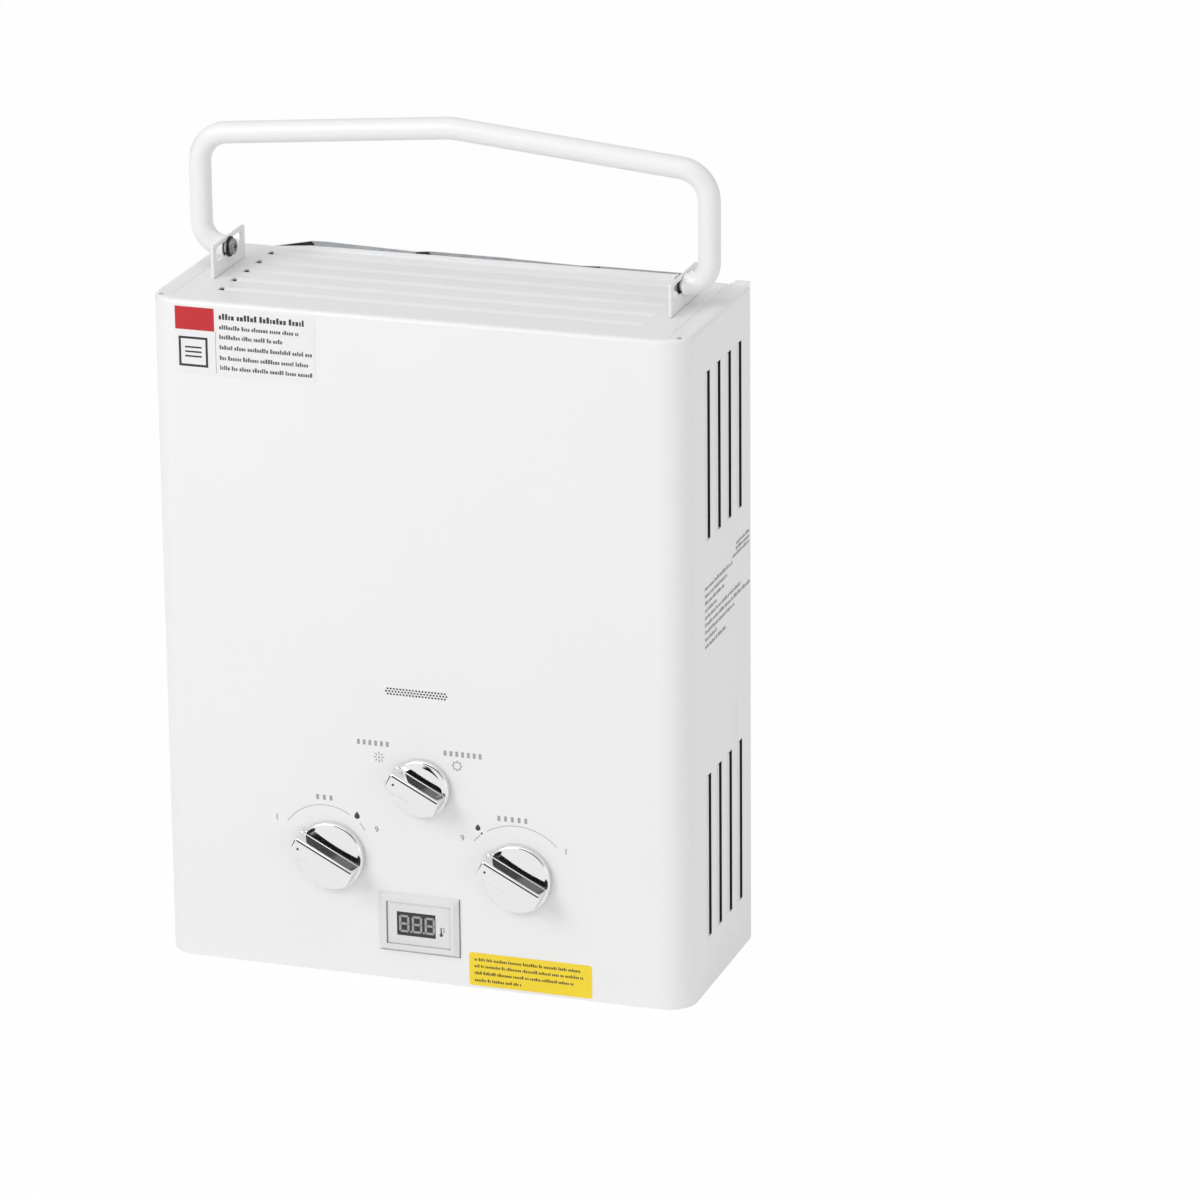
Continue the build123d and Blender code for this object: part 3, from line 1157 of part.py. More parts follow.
def exchanger_hangers():
    """Angle brackets between the chamber and the rear panel."""
    front = chamber_rear_y()
    hangers = []
    for side in (-1, 1):
        x0 = side * HANGER_X - HANGER_WIDTH / 2
        x1 = x0 + HANGER_WIDTH
        top = HANGER_Z + HANGER_SHEET
        low = HANGER_Z - HANGER_HEIGHT
        web = block(x0, x1, front, PANEL_Y, HANGER_Z, top)
        web += block(x0, x1, front, front + HANGER_SHEET, low, HANGER_Z)
        hangers.append(web + block(x0, x1, PANEL_Y - HANGER_SHEET, PANEL_Y, low, HANGER_Z))
    return group(hangers)


def hood_form(inset):
    """Tapered block from the chamber to the underside of the top."""
    middle = CHAMBER_FRONT_Y + CHAMBER_DEPTH / 2
    radius = CHAMBER_CORNER - inset
    wide, deep = RACK_WIDTH - 2 * inset, CHAMBER_DEPTH - 2 * inset
    low = Pos(0, middle, CHAMBER_TOP_Z) * RectangleRounded(wide, deep, radius)
    wide, deep = HOOD_TOP_WIDTH - 2 * inset, HOOD_TOP_DEPTH - 2 * inset
    high = Pos(0, middle, HOOD_TOP_Z) * RectangleRounded(wide, deep, radius)
    return loft([low, high])


def flue_hood():
    """Sheet hood that leads the flue gas to the louvred top."""
    return hood_form(0) - hood_form(HOOD_SHEET)


def overheat_switch():
    """Bimetal switch on the left wall of the chamber."""
    x = -RACK_WIDTH / 2
    y = tube_lines()[1]
    disc = bar_x(x - SWITCH_DISC_THICK, x, y, SWITCH_DISC_Z, SWITCH_DISC_RADIUS)
    tab = Box(SWITCH_DISC_THICK, TERMINAL_THICK, TERMINAL_WIDTH)
    tab_x = x - 1.5 * SWITCH_DISC_THICK
    tabs = [Pos(tab_x, y + side * TERMINAL_SPREAD / 2, SWITCH_DISC_Z) * tab for side in (-1, 1)]
    return disc + tabs


def temperature_probe():
    """Probe of the display, clipped to the hot pipe."""
    y = OUTLET_Y - TUBE_RADIUS - PROBE_RADIUS - COIL_GAP
    probe = bar_z(OUTLET_X, y, PROBE_Z, PROBE_Z + PROBE_LENGTH, PROBE_RADIUS)
    low = PROBE_Z + (PROBE_LENGTH - PROBE_CLIP_HEIGHT) / 2
    high = low + PROBE_CLIP_HEIGHT
    ring = bar_z(OUTLET_X, OUTLET_Y, low, high, TUBE_RADIUS + COIL_GAP + PROBE_CLIP_SHEET)
    ring -= bar_z(OUTLET_X, OUTLET_Y, low, high, TUBE_RADIUS + COIL_GAP)
    return probe + ring


# ---- Carriers, ignition, batteries ---------------------------------------------------------------

def valve_brackets():
    """Straps from the valve blocks to the rear panel."""
    straps = []
    for x in (GAS_X, WATER_X):
        x0, x1 = x - STRAP_WIDTH / 2, x + STRAP_WIDTH / 2
        low = VALVE_TOP_Z - STRAP_LEG
        high = low + STRAP_SHEET
        strap = block(x0, x1, VALVE_REAR_Y, PANEL_Y, low, high)
        strap += block(x0, x1, VALVE_REAR_Y, VALVE_REAR_Y + STRAP_SHEET, low - STRAP_LEG, low)
        straps.append(strap + block(x0, x1, PANEL_Y - STRAP_SHEET, PANEL_Y, high, VALVE_TOP_Z))
    return group(straps)


def chassis_screws():
    """Screws that hold the brackets and the rack to the rear panel."""
    screws = []
    places = [(side * (RACK_WIDTH / 2 + RACK_FLANGE / 2), (RACK_BASE_Z + RACK_TOP_Z) / 2) for side in (-1, 1)]
    places += [(side * HANGER_X, HANGER_Z - HANGER_HEIGHT / 2) for side in (-1, 1)]
    places += [(x, VALVE_TOP_Z - (STRAP_LEG - STRAP_SHEET) / 2) for x in (GAS_X, WATER_X)]
    for x, z in places:
        depth = RACK_SHEET if abs(x) > HANGER_X + HANGER_WIDTH else HANGER_SHEET
        seat = PANEL_Y - depth
        screws.append(bar_y(x, seat - CHASSIS_SCREW_HEAD, seat, z, CHASSIS_SCREW_HEAD_RADIUS))
    return group(screws)


def ignition_controller():
    """Pulse igniter on the rear panel."""
    x0 = CONTROLLER_SIDE_GAP - SIDE_X
    x1 = x0 + CONTROLLER_WIDTH
    z0 = CONTROLLER_BASE_Z
    case = block(x0, x1, PANEL_Y - CONTROLLER_DEPTH, PANEL_Y, z0, z0 + CONTROLLER_HEIGHT)
    case = fillet(case.edges().filter_by(Axis.Z), CONTROLLER_EDGE)
    inset = CONTROLLER_SOCKET_INSET
    y0, y1 = PANEL_Y - CONTROLLER_DEPTH / 2, PANEL_Y - CONTROLLER_SOCKET_REAR_GAP
    return case + block(x0 + inset, x1 - inset, y0, y1, z0 - inset, z0)


def battery_outline(grow):
    """Plan of the battery box, grown by a clearance."""
    half_x = BATTERY_HALF_WIDTH + grow
    half_y = CELL_RADIUS + CELL_GAP + BATTERY_WALL + grow
    return BATTERY_X - half_x, BATTERY_X + half_x, BATTERY_Y - half_y, BATTERY_Y + half_y


def battery_box_top():
    """Top of the battery box."""
    return BATTERY_FLOOR_Z + CELL_LENGTH + 2 * CELL_GAP + BATTERY_WALL


def battery_box():
    """Box for two cells, open at the bottom."""
    x0, x1, y0, y1 = battery_outline(0)
    top = battery_box_top()
    wall = BATTERY_WALL
    box = block(x0, x1, y0, y1, BATTERY_FLOOR_Z, top)
    box -= block(x0 + wall, x1 - wall, y0 + wall, y1 - wall, BATTERY_FLOOR_Z, top - wall)
    rim_low = BASE_PLATE_Z + SHEET
    rim_y0, rim_y1 = y0 - BATTERY_RIM, y1 + BATTERY_REAR_RIM
    rim = block(x0 - BATTERY_RIM, x1 + BATTERY_RIM, rim_y0, rim_y1, rim_low, rim_low + wall)
    return box + (rim - block(x0, x1, y0, y1, rim_low, rim_low + wall))


def battery_cells():
    """Two cells side by side, one upside down."""
    cells = []
    base = BATTERY_FLOOR_Z + CELL_GAP
    for side in (-1, 1):
        x = BATTERY_X + side * (CELL_RADIUS + CELL_GAP / 2)
        low, high = base, base + CELL_LENGTH
        can_low, can_high = (low, high - CELL_NUB) if side > 0 else (low + CELL_NUB, high)
        cell = bar_z(x, BATTERY_Y, can_low, can_high, CELL_RADIUS)
        cells.append(cell + bar_z(x, BATTERY_Y, low, high, CELL_NUB_RADIUS))
    return group(cells)


def battery_lid():
    """Lid under the battery box, hinged along its rear edge."""
    x0, x1, y0, y1 = battery_outline(0)
    top = BATTERY_FLOOR_Z - LID_GAP
    lid = block(x0, x1, y0 - LID_MARGIN, y1, top - LID_THICK, top)
    edge = y0 - LID_MARGIN
    tab_x0, tab_x1 = BATTERY_X - LID_TAB, BATTERY_X + LID_TAB
    lid += block(tab_x0, tab_x1, edge - LID_TAB_REACH, edge, top - LID_THICK, top)
    pin_z = top - LID_THICK / 2
    return lid + bar_x(x0 + LID_PIN_INSET, x1 - LID_PIN_INSET, y1, pin_z, LID_THICK / 2)


gas_seat_y = VALVE_FRONT_Y + SPINDLE_SEAT_DEPTH - 1
season_seat_y = MANIFOLD_FRONT_Y + SPINDLE_SEAT_DEPTH - 1

save("front_cover", front_cover())
save("rear_panel", rear_panel())
save("bottom_plate", bottom_plate())
save("cover_screws", cover_screws())
save("handle_bracket_left", handle_bracket(-1))
save("handle_bracket_right", handle_bracket(1))
save("handle_tube", handle_tube())
save("handle_plugs", handle_plugs())
save("handle_screws", handle_screws())
save("handle_washers", handle_washers())
save("handle_bushes", handle_bushes())
save("gas_knob", knob(GAS_X, GAS_Z, KNOB_RADIUS))
save("gas_spindle", spindle(GAS_X, GAS_Z, gas_seat_y))
save("water_knob", knob(WATER_X, WATER_Z, KNOB_RADIUS))
save("water_spindle", spindle(WATER_X, WATER_Z, gas_seat_y))
save("season_knob", knob(SEASON_X, SEASON_Z, SEASON_KNOB_RADIUS))
save("season_spindle", spindle(SEASON_X, SEASON_Z, season_seat_y))
save("window_mesh", window_mesh())
save("display_bezel", display_bezel())
save("display_face", display_face())
save("display_pane", display_pane())
save("display_body", display_body())
save("lower_label", label(LOWER_LABEL))
save("upper_label", label(UPPER_LABEL))
save("gas_valve", gas_valve())
save("gas_solenoid", gas_solenoid())
save("gas_inlet", fitting(GAS_X, VALVE_AXIS_Y, VALVE_BOTTOM_Z))
save("gas_riser", gas_riser())
save("gas_manifold", gas_manifold())
save("gas_nozzles", gas_nozzles())
save("burner_bars", burner_bars())
save("burner_rack", burner_rack())
save("spark_electrode", electrode(-ELECTRODE_X, -ELECTRODE_X / 3))
save("flame_sensor", electrode(ELECTRODE_X, ELECTRODE_X / 3))
save("water_valve", water_valve())
save("diaphragm_cover", diaphragm_cover())
save("push_rod", push_rod())
save("return_spring", return_spring())
save("microswitch", microswitch())
save("microswitch_lever", microswitch_lever())
save("cold_inlet", fitting(WATER_X, VALVE_AXIS_Y, VALVE_BOTTOM_Z))
save("hot_outlet", fitting(OUTLET_X, OUTLET_Y, OUTLET_TOP_Z))
save("drain_valve", drain_valve())
save("drain_knob", drain_knob())
save("combustion_chamber", combustion_chamber())
save("exchanger_fins", exchanger_fins())
save("exchanger_tubes", exchanger_tubes())
save("coil_pipe", coil_pipe())
save("hot_pipe", hot_pipe())
save("exchanger_hangers", exchanger_hangers())
save("flue_hood", flue_hood())
save("overheat_switch", overheat_switch())
save("temperature_probe", temperature_probe())
save("valve_brackets", valve_brackets())
save("chassis_screws", chassis_screws())
save("ignition_controller", ignition_controller())
save("battery_box", battery_box())
save("battery_cells", battery_cells())
save("battery_lid", battery_lid())
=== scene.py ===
import bpy
import bmesh
import json
import random
from math import cos, pi, radians, sin
from mathutils import Matrix, Vector


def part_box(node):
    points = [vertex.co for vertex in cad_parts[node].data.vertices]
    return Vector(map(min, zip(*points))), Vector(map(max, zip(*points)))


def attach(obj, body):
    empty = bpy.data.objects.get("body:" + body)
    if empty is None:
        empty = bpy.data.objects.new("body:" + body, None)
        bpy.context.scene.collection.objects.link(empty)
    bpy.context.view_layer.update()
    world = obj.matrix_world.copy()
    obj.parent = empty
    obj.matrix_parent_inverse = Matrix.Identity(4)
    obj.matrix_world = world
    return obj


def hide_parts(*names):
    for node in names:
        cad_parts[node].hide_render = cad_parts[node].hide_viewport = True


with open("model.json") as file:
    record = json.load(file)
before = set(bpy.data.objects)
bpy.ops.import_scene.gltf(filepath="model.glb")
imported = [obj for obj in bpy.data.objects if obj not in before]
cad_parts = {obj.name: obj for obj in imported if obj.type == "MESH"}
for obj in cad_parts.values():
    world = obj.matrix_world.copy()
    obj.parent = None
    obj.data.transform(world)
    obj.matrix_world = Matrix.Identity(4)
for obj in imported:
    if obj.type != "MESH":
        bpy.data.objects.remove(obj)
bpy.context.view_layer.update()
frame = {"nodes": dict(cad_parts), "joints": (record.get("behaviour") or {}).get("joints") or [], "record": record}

MM = 0.001
BODIES = frame["record"]["behaviour"]["bodies"]
BODY_OF = {node: body for body, nodes in BODIES.items() for node in nodes}
SLOT_OF = {part["node"]: part["material_slot"] for part in frame["record"]["subparts"]}
JOINTS = {joint["name"]: joint for joint in frame["joints"]}

# Sizes of the sheet metal, and places taken from the frame
SHEET = 1.0 * MM
LOUVRE_RAISE = 0.5 * MM
LABEL_BELOW_TOP = 3.4 * MM
SIDE_FLANGE = 11.3 * MM
COVER_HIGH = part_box("front_cover")[1]
FRONT_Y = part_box("lower_label")[1].y
TOP_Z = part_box("upper_label")[1].z + LABEL_BELOW_TOP
SIDE_X = COVER_HIGH.x - LOUVRE_RAISE
RIM_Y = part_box("rear_panel")[1].y - SHEET


# ---- Shader nodes --------------------------------------------------------------------

class Wire:
    """An output socket that Python arithmetic can combine."""

    def __init__(self, graph, socket):
        self.graph = graph
        self.socket = socket

    def __add__(self, other):
        return self.graph.maths("ADD", self, other)

    def __sub__(self, other):
        return self.graph.maths("SUBTRACT", self, other)

    def __rsub__(self, other):
        return self.graph.maths("SUBTRACT", other, self)

    def __mul__(self, other):
        return self.graph.maths("MULTIPLY", self, other)

    def __truediv__(self, other):
        return self.graph.maths("DIVIDE", self, other)

    def __gt__(self, other):
        return self.graph.maths("GREATER_THAN", self, other)

    def __lt__(self, other):
        return self.graph.maths("LESS_THAN", self, other)

    __radd__ = __add__


class Graph:
    """A tree of shader nodes, built node by node."""

    def __init__(self, tree):
        self.tree = tree

    def put(self, socket, value):
        """Links or sets one input socket."""
        if isinstance(value, Wire):
            self.tree.links.new(value.socket, socket)
        elif socket.type == "RGBA":
            socket.default_value = (*value, 1)
        else:
            socket.default_value = value

    def node(self, kind, settings=None, inputs=None, output=0):
        """Adds a node, sets it, fills its inputs and returns one of its outputs."""
        node = self.tree.nodes.new("ShaderNode" + kind)
        for name, value in (settings or {}).items():
            setattr(node, name, value)
        for key, value in (inputs or {}).items():
            self.put(node.inputs[key], value)
        return Wire(self, node.outputs[output])

    def maths(self, operation, *values):
        """One Math node."""
        return self.node("Math", {"operation": operation}, dict(enumerate(values)))

    def most(self, first, *others):
        """The largest of several values."""
        for other in others:
            first = self.maths("MAXIMUM", first, other)
        return first

    def within(self, value, low, high, soft):
        """1 where a value lies between two limits, with soft sides."""
        inside = self.maths("MINIMUM", (value - low) / soft, (high - value) / soft)
        return self.most(self.maths("MINIMUM", inside, 1.0), 0.0)

    def mix(self, factor, first, second):
        """Mix of two colours."""
        inputs = {0: factor, 6: first, 7: second}
        return self.node("Mix", {"data_type": "RGBA"}, inputs, output=2)

    def ramp(self, value, *stops):
        """Ramp through pairs of a place and a colour or grey value."""
        ramped = self.node("ValToRGB", inputs={0: value})
        elements = ramped.socket.node.color_ramp.elements
        while len(elements) < len(stops):
            elements.new(0.5)
        for element, (place, tone) in zip(elements, stops):
            element.position = place
            colour = tone if isinstance(tone, tuple) else (tone, tone, tone)
            element.color = (*colour, 1)
        return ramped

    def ray(self, kind):
        """1 for rays of one kind."""
        return self.node("LightPath", output=kind)


class Finish(Graph):
    """A material with one principled shader."""

    def __init__(self, name, colour, roughness, metallic=0.0, **sockets):
        self.material = bpy.data.materials.new(name)
        self.material.use_nodes = True
        super().__init__(self.material.node_tree)
        self.shader = self.tree.nodes["Principled BSDF"]
        self.set(base_color=colour, roughness=roughness, metallic=metallic, **sockets)

    def set(self, **sockets):
        """Feeds sockets of the shader."""
        for name, value in sockets.items():
            self.put(self.shader.inputs[name.replace("_", " ").title()], value)
        return self

    def place(self):
        """Object coordinates."""
        return self.node("TexCoord", output="Object")

    def height(self):
        """Z of Object coordinates in metres."""
        return self.node("SeparateXYZ", inputs={0: self.place()}, output="Z")

    def stretched(self, scale):
        """Object coordinates scaled along each axis."""
        return self.node("Mapping", inputs={"Vector": self.place(), "Scale": scale})

    def noise(self, scale, detail=2.0, where=None):
        """Noise from 0 to 1."""
        inputs = {"Vector": where or self.place(), "Scale": scale, "Detail": detail}
        return self.node("TexNoise", inputs=inputs)

    def patchy(self, value, dull, bright, low=0.3, high=0.7):
        """Base colour between two tones, reached where the value is low and high."""
        return self.set(base_color=self.ramp(value, (low, dull), (high, bright)))

    def bump(self, height, distance, strength):
        """Adds a bump under what is there already."""
        normal = self.shader.inputs["Normal"]
        inputs = {"Height": height, "Distance": distance, "Strength": strength}
        if normal.links:
            inputs["Normal"] = Wire(self, normal.links[0].from_socket)
        self.put(normal, self.node("Bump", inputs=inputs))
        return self


# ---- Materials -----------------------------------------------------------------------

def darker(colour, share):
    """A colour times a share."""
    return tuple(c * share for c in colour)


def powder_coat(name, colour):
    """Glossy powder coat with a fine orange peel and slight unevenness of the sheet."""
    finish = Finish(name, colour, 0.35, coat_weight=0.15, coat_roughness=0.25)
    cloud = finish.noise(9.0)
    finish.patchy(cloud, darker(colour, 0.985), colour)
    finish.set(roughness=0.32 + cloud * 0.1)
    finish.bump(finish.noise(14.0, detail=1.0), distance=0.4 * MM, strength=0.35)
    speck = finish.noise(900.0, detail=3.0)
    return finish.bump(speck, distance=0.03 * MM, strength=0.5)


def dark_primer():
    """Inner side of the cover: darker bare sheet, made near-black as painted shade so the slots read black."""
    finish = Finish("dark_primer", (0.02, 0.02, 0.021), roughness=0.8)
    return finish.patchy(finish.noise(60.0), 0.012, 0.03)


def zinc_sheet():
    """Galvanised sheet with spangle."""
    finish = Finish("zinc_sheet", (0.55, 0.57, 0.59), roughness=0.4, metallic=1.0)
    inputs = {"Vector": finish.place(), "Scale": 170.0}
    cells = finish.node("TexVoronoi", inputs=inputs, output="Color")
    spangle = finish.node("SeparateColor", inputs={0: cells})
    tone = spangle * 0.6 + finish.noise(12.0) * 0.4
    finish.patchy(tone, (0.48, 0.5, 0.52), (0.59, 0.61, 0.63), low=0.2, high=0.8)
    finish.set(roughness=0.36 + spangle * 0.12)
    return finish.bump(spangle, distance=0.04 * MM, strength=0.3)


def bright_steel(name="bright_steel", colour=(0.62, 0.62, 0.61), roughness=0.3):
    """Plain or zinc-plated steel."""
    finish = Finish(name, colour, roughness, metallic=1.0)
    grain = finish.noise(500.0, detail=3.0)
    finish.patchy(finish.noise(70.0), darker(colour, 0.82), colour)
    finish.set(roughness=roughness + grain * 0.14)
    return finish.bump(grain, distance=0.02 * MM, strength=0.3)


def stainless():
    """Brushed stainless of the burner."""
    finish = Finish("stainless", (0.5, 0.49, 0.47), roughness=0.35, metallic=1.0)
    along_x = finish.stretched((0.05, 1.0, 4.0))
    brush = finish.noise(300.0, detail=3.0, where=along_x)
    heat = finish.noise(25.0)
    finish.patchy(heat, (0.42, 0.37, 0.3), (0.56, 0.55, 0.54), low=0.35, high=0.65)
    finish.set(roughness=0.25 + brush * 0.3)
    return finish.bump(brush, distance=0.03 * MM, strength=0.3)


def chrome_plate():
    """Bright chrome with the faintest ripple."""
    finish = Finish("chrome_plate", (0.82, 0.82, 0.83), roughness=0.06, metallic=1.0)
    finish.set(roughness=0.045 + finish.noise(160.0, detail=3.0) * 0.05)
    ripple = finish.noise(55.0, detail=1.0)
    return finish.bump(ripple, distance=0.1 * MM, strength=0.1)


def copper_sheet():
    """Drawn copper with heat tint."""
    burnt, plain, bright = (0.42, 0.2, 0.13), (0.72, 0.4, 0.26), (0.82, 0.5, 0.34)
    finish = Finish("copper_sheet", plain, roughness=0.35, metallic=1.0)
    tint = finish.noise(22.0, detail=4.0)
    tone = finish.ramp(tint, (0.3, burnt), (0.55, plain), (0.75, bright))
    return finish.set(base_color=tone, roughness=0.25 + tint * 0.3)


def turned_brass():
    """Machined brass with turning marks."""
    finish = Finish("turned_brass", (0.75, 0.56, 0.25), roughness=0.28, metallic=1.0)
    marks = finish.noise(900.0, where=finish.stretched((0.1, 0.1, 1.0)))
    finish.patchy(finish.noise(60.0), (0.6, 0.43, 0.18), (0.78, 0.6, 0.29))
    finish.set(roughness=0.2 + marks * 0.2)
    return finish.bump(marks, distance=0.03 * MM, strength=0.4)


def cast_aluminium():
    """Die-cast aluminium."""
    finish = Finish("cast_aluminium", (0.6, 0.61, 0.62), roughness=0.5, metallic=1.0)
    skin = finish.noise(220.0, detail=4.0)
    finish.patchy(skin, 0.45, 0.62)
    finish.set(roughness=0.4 + skin * 0.25)
    return finish.bump(skin, distance=0.08 * MM, strength=0.4)


def moulded(name, colour, roughness=0.5, grain=0.5):
    """Moulded plastic with a fine spark-eroded texture."""
    finish = Finish(name, colour, roughness)
    texture = finish.noise(1400.0)
    finish.patchy(finish.noise(30.0), darker(colour, 0.93), colour)
    finish.set(roughness=roughness - 0.05 + texture * 0.12)
    return finish.bump(texture, distance=0.02 * MM, strength=grain)


def film(name, colour):
    """Printed adhesive film."""
    finish = Finish(name, colour, roughness=0.42)
    fibre = finish.noise(600.0, detail=3.0)
    finish.patchy(fibre, darker(colour, 0.97), colour)
    finish.set(roughness=0.38 + fibre * 0.1)
    return finish.bump(finish.noise(40.0), distance=0.05 * MM, strength=0.2)


def ink(name, colour):
    """Screen-printed ink."""
    finish = Finish(name, colour, roughness=0.45)
    pale = tuple(c * 1.15 + 0.006 for c in colour)
    return finish.patchy(finish.noise(1200.0), colour, pale, low=0.35)


def grey_ink(name, level):
    """Ink of one grey level."""
    return ink(name, (level, level, level))


def glazed_ceramic():
    """Off-white glazed ceramic."""
    finish = Finish("glazed_ceramic", (0.82, 0.79, 0.73), 0.2, coat_weight=0.5)
    return finish.patchy(finish.noise(90.0), (0.74, 0.7, 0.63), (0.84, 0.82, 0.77))


def dark_pane():
    """Smoked pane of the display."""
    finish = Finish("smoked_pane", (0.012, 0.012, 0.013), 0.12, coat_weight=0.3)
    return finish.set(roughness=0.1 + finish.noise(300.0) * 0.06)


def cell_sleeve():
    """Printed sleeve of the battery cells, with a gold band and a bare cap."""
    finish = Finish("cell_sleeve", (0.05, 0.09, 0.16), roughness=0.35)
    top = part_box("battery_cells")[1].z
    z = finish.height()
    band = (z > top - 16.0 * MM) * (z < top - 4.0 * MM)
    cap = z > top - 2.2 * MM
    tone = finish.mix(band, (0.04, 0.08, 0.15), (0.5, 0.32, 0.05))
    return finish.set(base_color=finish.mix(cap, tone, (0.5, 0.5, 0.5)), metallic=cap)


WHITE = powder_coat("white_powder_coat", (0.88, 0.88, 0.885))
# Near-black inside of the cover: darker bare sheet and painted shade in the slots.
PRIMER_AND_SHADE = dark_primer()
STEEL = bright_steel()
DARK_STEEL = bright_steel("dark_steel", (0.36, 0.36, 0.36), roughness=0.34)
# Near-black steel is painted shade: behind the window's perforations it stands for the shade in the holes, and as
# the handle washers for the shadow ring round the screw heads.
SHADE_BLACK_STEEL = bright_steel("blacked_steel", (0.05, 0.05, 0.05), roughness=0.5)
CHROME = chrome_plate()
BLACK_INK = grey_ink("black_ink", 0.02)
GREY_INK = grey_ink("grey_ink", 0.035)
DULL_INK = grey_ink("dull_ink", 0.09)
MID_INK = grey_ink("mid_ink", 0.2)
PALE_INK = grey_ink("pale_ink", 0.34)
SEGMENT = grey_ink("segment_grey", 0.36)
RED_INK = ink("red_ink", (0.52, 0.012, 0.022))
OLIVE_INK = ink("olive_ink", (0.1, 0.075, 0.01))
# Near-black film for the painted shadow at the rear rim of the top.
SHADOW_BLACK = moulded("black_rubber", (0.012, 0.012, 0.012), roughness=0.7)

SLOT_FINISHES = {
    "white_paint": WHITE,
    "galvanised": zinc_sheet(),
    "steel": STEEL,
    "chrome": CHROME,
    "brass": turned_brass(),
    "copper": copper_sheet(),
    "aluminium": cast_aluminium(),
    "black_plastic": moulded("black_plastic", (0.025, 0.025, 0.027)),
    "nylon": moulded("natural_nylon", (0.8, 0.79, 0.75), roughness=0.4),
    "bright_plastic": moulded("silver_bezel", (0.79, 0.79, 0.8), 0.22, grain=0.1),
    "grey_plastic": moulded("pale_face", (0.79, 0.79, 0.8)),
    "dark_pane": dark_pane(),
    "yellow_label": film("yellow_film", (0.93, 0.7, 0.03)),
    "white_label": film("white_film", (0.87, 0.87, 0.87)),
    "ceramic": glazed_ceramic(),
}
OWN_FINISHES = {
    "burner_bars": stainless(),
    # The window mesh and the handle washers take the near-black painted shade steel.
    "window_mesh": SHADE_BLACK_STEEL,
    "battery_cells": cell_sleeve(),
    "handle_screws": DARK_STEEL,
    "handle_washers": SHADE_BLACK_STEEL,
}


def finish_of(node):
    """The finish of a CAD node."""
    return OWN_FINISHES.get(node, SLOT_FINISHES[SLOT_OF[node]])


# ---- Making pieces -------------------------------------------------------------------

def piece(name, bm, finish, body, slot, angle=35, edge=0.0):
    """Makes an object from a bmesh, smooth up to an angle, and rides it on a body."""
    mesh = bpy.data.meshes.new(name)
    bm.to_mesh(mesh)
    bm.free()
    mesh.shade_smooth()
    mesh.set_sharp_from_angle(angle=radians(angle))
    made = bpy.data.objects.new(name, mesh)
    bpy.context.scene.collection.objects.link(made)
    mesh.materials.append(finish.material)
    if edge:
        soften(made, edge)
    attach(made, body)
    return made


def soften(made, edge):
    """Rounds the sharp edges of a piece."""
    bevel = made.modifiers.new("soft_edges", "BEVEL")
    bevel.width = edge
    bevel.segments = 2
    bevel.limit_method = "ANGLE"
    bevel.angle_limit = radians(40)
    bevel.use_clamp_overlap = True
    bevel.harden_normals = True


def cad_form(node):
    """Merged copy of a CAD node's mesh, with its flat faces whole."""
    bm = bmesh.new()
    bm.from_mesh(frame["nodes"][node].data)
    bmesh.ops.remove_doubles(bm, verts=bm.verts, dist=0.001 * MM)
    flat = radians(0.4)
    bmesh.ops.dissolve_limit(bm, angle_limit=flat, verts=bm.verts, edges=bm.edges)
    return bm


def stand_in(node, bm, suffix="_skin", **looks):
    """Makes the piece that stands for a CAD node."""
    body, slot = BODY_OF[node], SLOT_OF[node]
    made = piece(node + suffix, bm, finish_of(node), body, slot, **looks)
    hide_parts(node)
    return made


def line_the_inside(made):
    """Near-black inside behind the cover's outer skin and in the cuts of its sides: partly the darker bare sheet,
    partly painted shade that makes the slots read black.
    """
    made.data.materials.append(PRIMER_AND_SHADE.material)
    inset, leaning, square, inward = 0.4 * MM, 0.2, 0.9, -0.5 * MM
    inner_face = COVER_HIGH.x - 1.5 * SHEET
    for face in made.data.polygons:
        (x, y, z), normal = face.center, face.normal
        behind = FRONT_Y + inset < y < COVER_HIGH.y - 2 * SHEET and normal.y > leaning
        below = z < TOP_Z - inset and normal.z < -leaning
        inner_side = abs(abs(x) - inner_face) < inset and x * normal.x < inward
        in_side_sheet = SIDE_X - SHEET - inset < abs(x) < SIDE_X
        cut_side = in_side_sheet and abs(normal.y) > square
        if behind or below or inner_side:
            face.material_index = 1
        elif cut_side and abs(y) < COVER_HIGH.y - 5 * SHEET:
            face.material_index = 1


# ---- Flat shapes, as lists of points -------------------------------------------------

def at(u, v):
    """Point of a printed plane, given in millimetres."""
    return Vector((u, v)) * MM


def bar(u0, u1, v0, v1):
    """Upright rectangle."""
    return [(u0, v0), (u1, v0), (u1, v1), (u0, v1)]


def stroke(start, end, width):
    """Straight line with square ends."""
    run = end - start
    side = Vector((-run.y, run.x)).normalized() * width / 2
    return [tuple(p) for p in (start + side, start - side, end - side, end + side)]


def arc(centre, radius, start, end, steps):
    """Points of an arc between two angles in degrees."""
    u, v = centre
    turns = [radians(start + (end - start) * i / steps) for i in range(steps + 1)]
    return [(u + radius * cos(turn), v + radius * sin(turn)) for turn in turns]


def disc(centre, radius, steps=20):
    """Filled circle."""
    return arc(centre, radius, 0, 360, steps)[:-1]


def ring_part(centre, radius, width, start, end):
    """Stretch of a ring between two angles in degrees."""
    outer = arc(centre, radius + width / 2, start, end, 30)
    inner = arc(centre, radius - width / 2, start, end, 30)
    return outer + inner[::-1]


def drop(centre, width, height, steps=20):
    """Drop with its point up."""
    turns = [2 * pi * (i + 0.5) / steps for i in range(steps)]
    bulge = 0.62 * width
    return [(centre.x + bulge * sin(turn) * sin(turn / 2),
             centre.y + height / 2 * cos(turn)) for turn in turns]


def square_frame(centre, half, line):
    """Four bars round a square."""
    u0, u1 = centre.x - half, centre.x + half
    v0, v1 = centre.y - half, centre.y + half
    return [
        bar(u0, u1, v0, v0 + line), bar(u0, u1, v1 - line, v1),
        bar(u0, u0 + line, v0 + line, v1 - line),
        bar(u1 - line, u1, v0 + line, v1 - line),
    ]


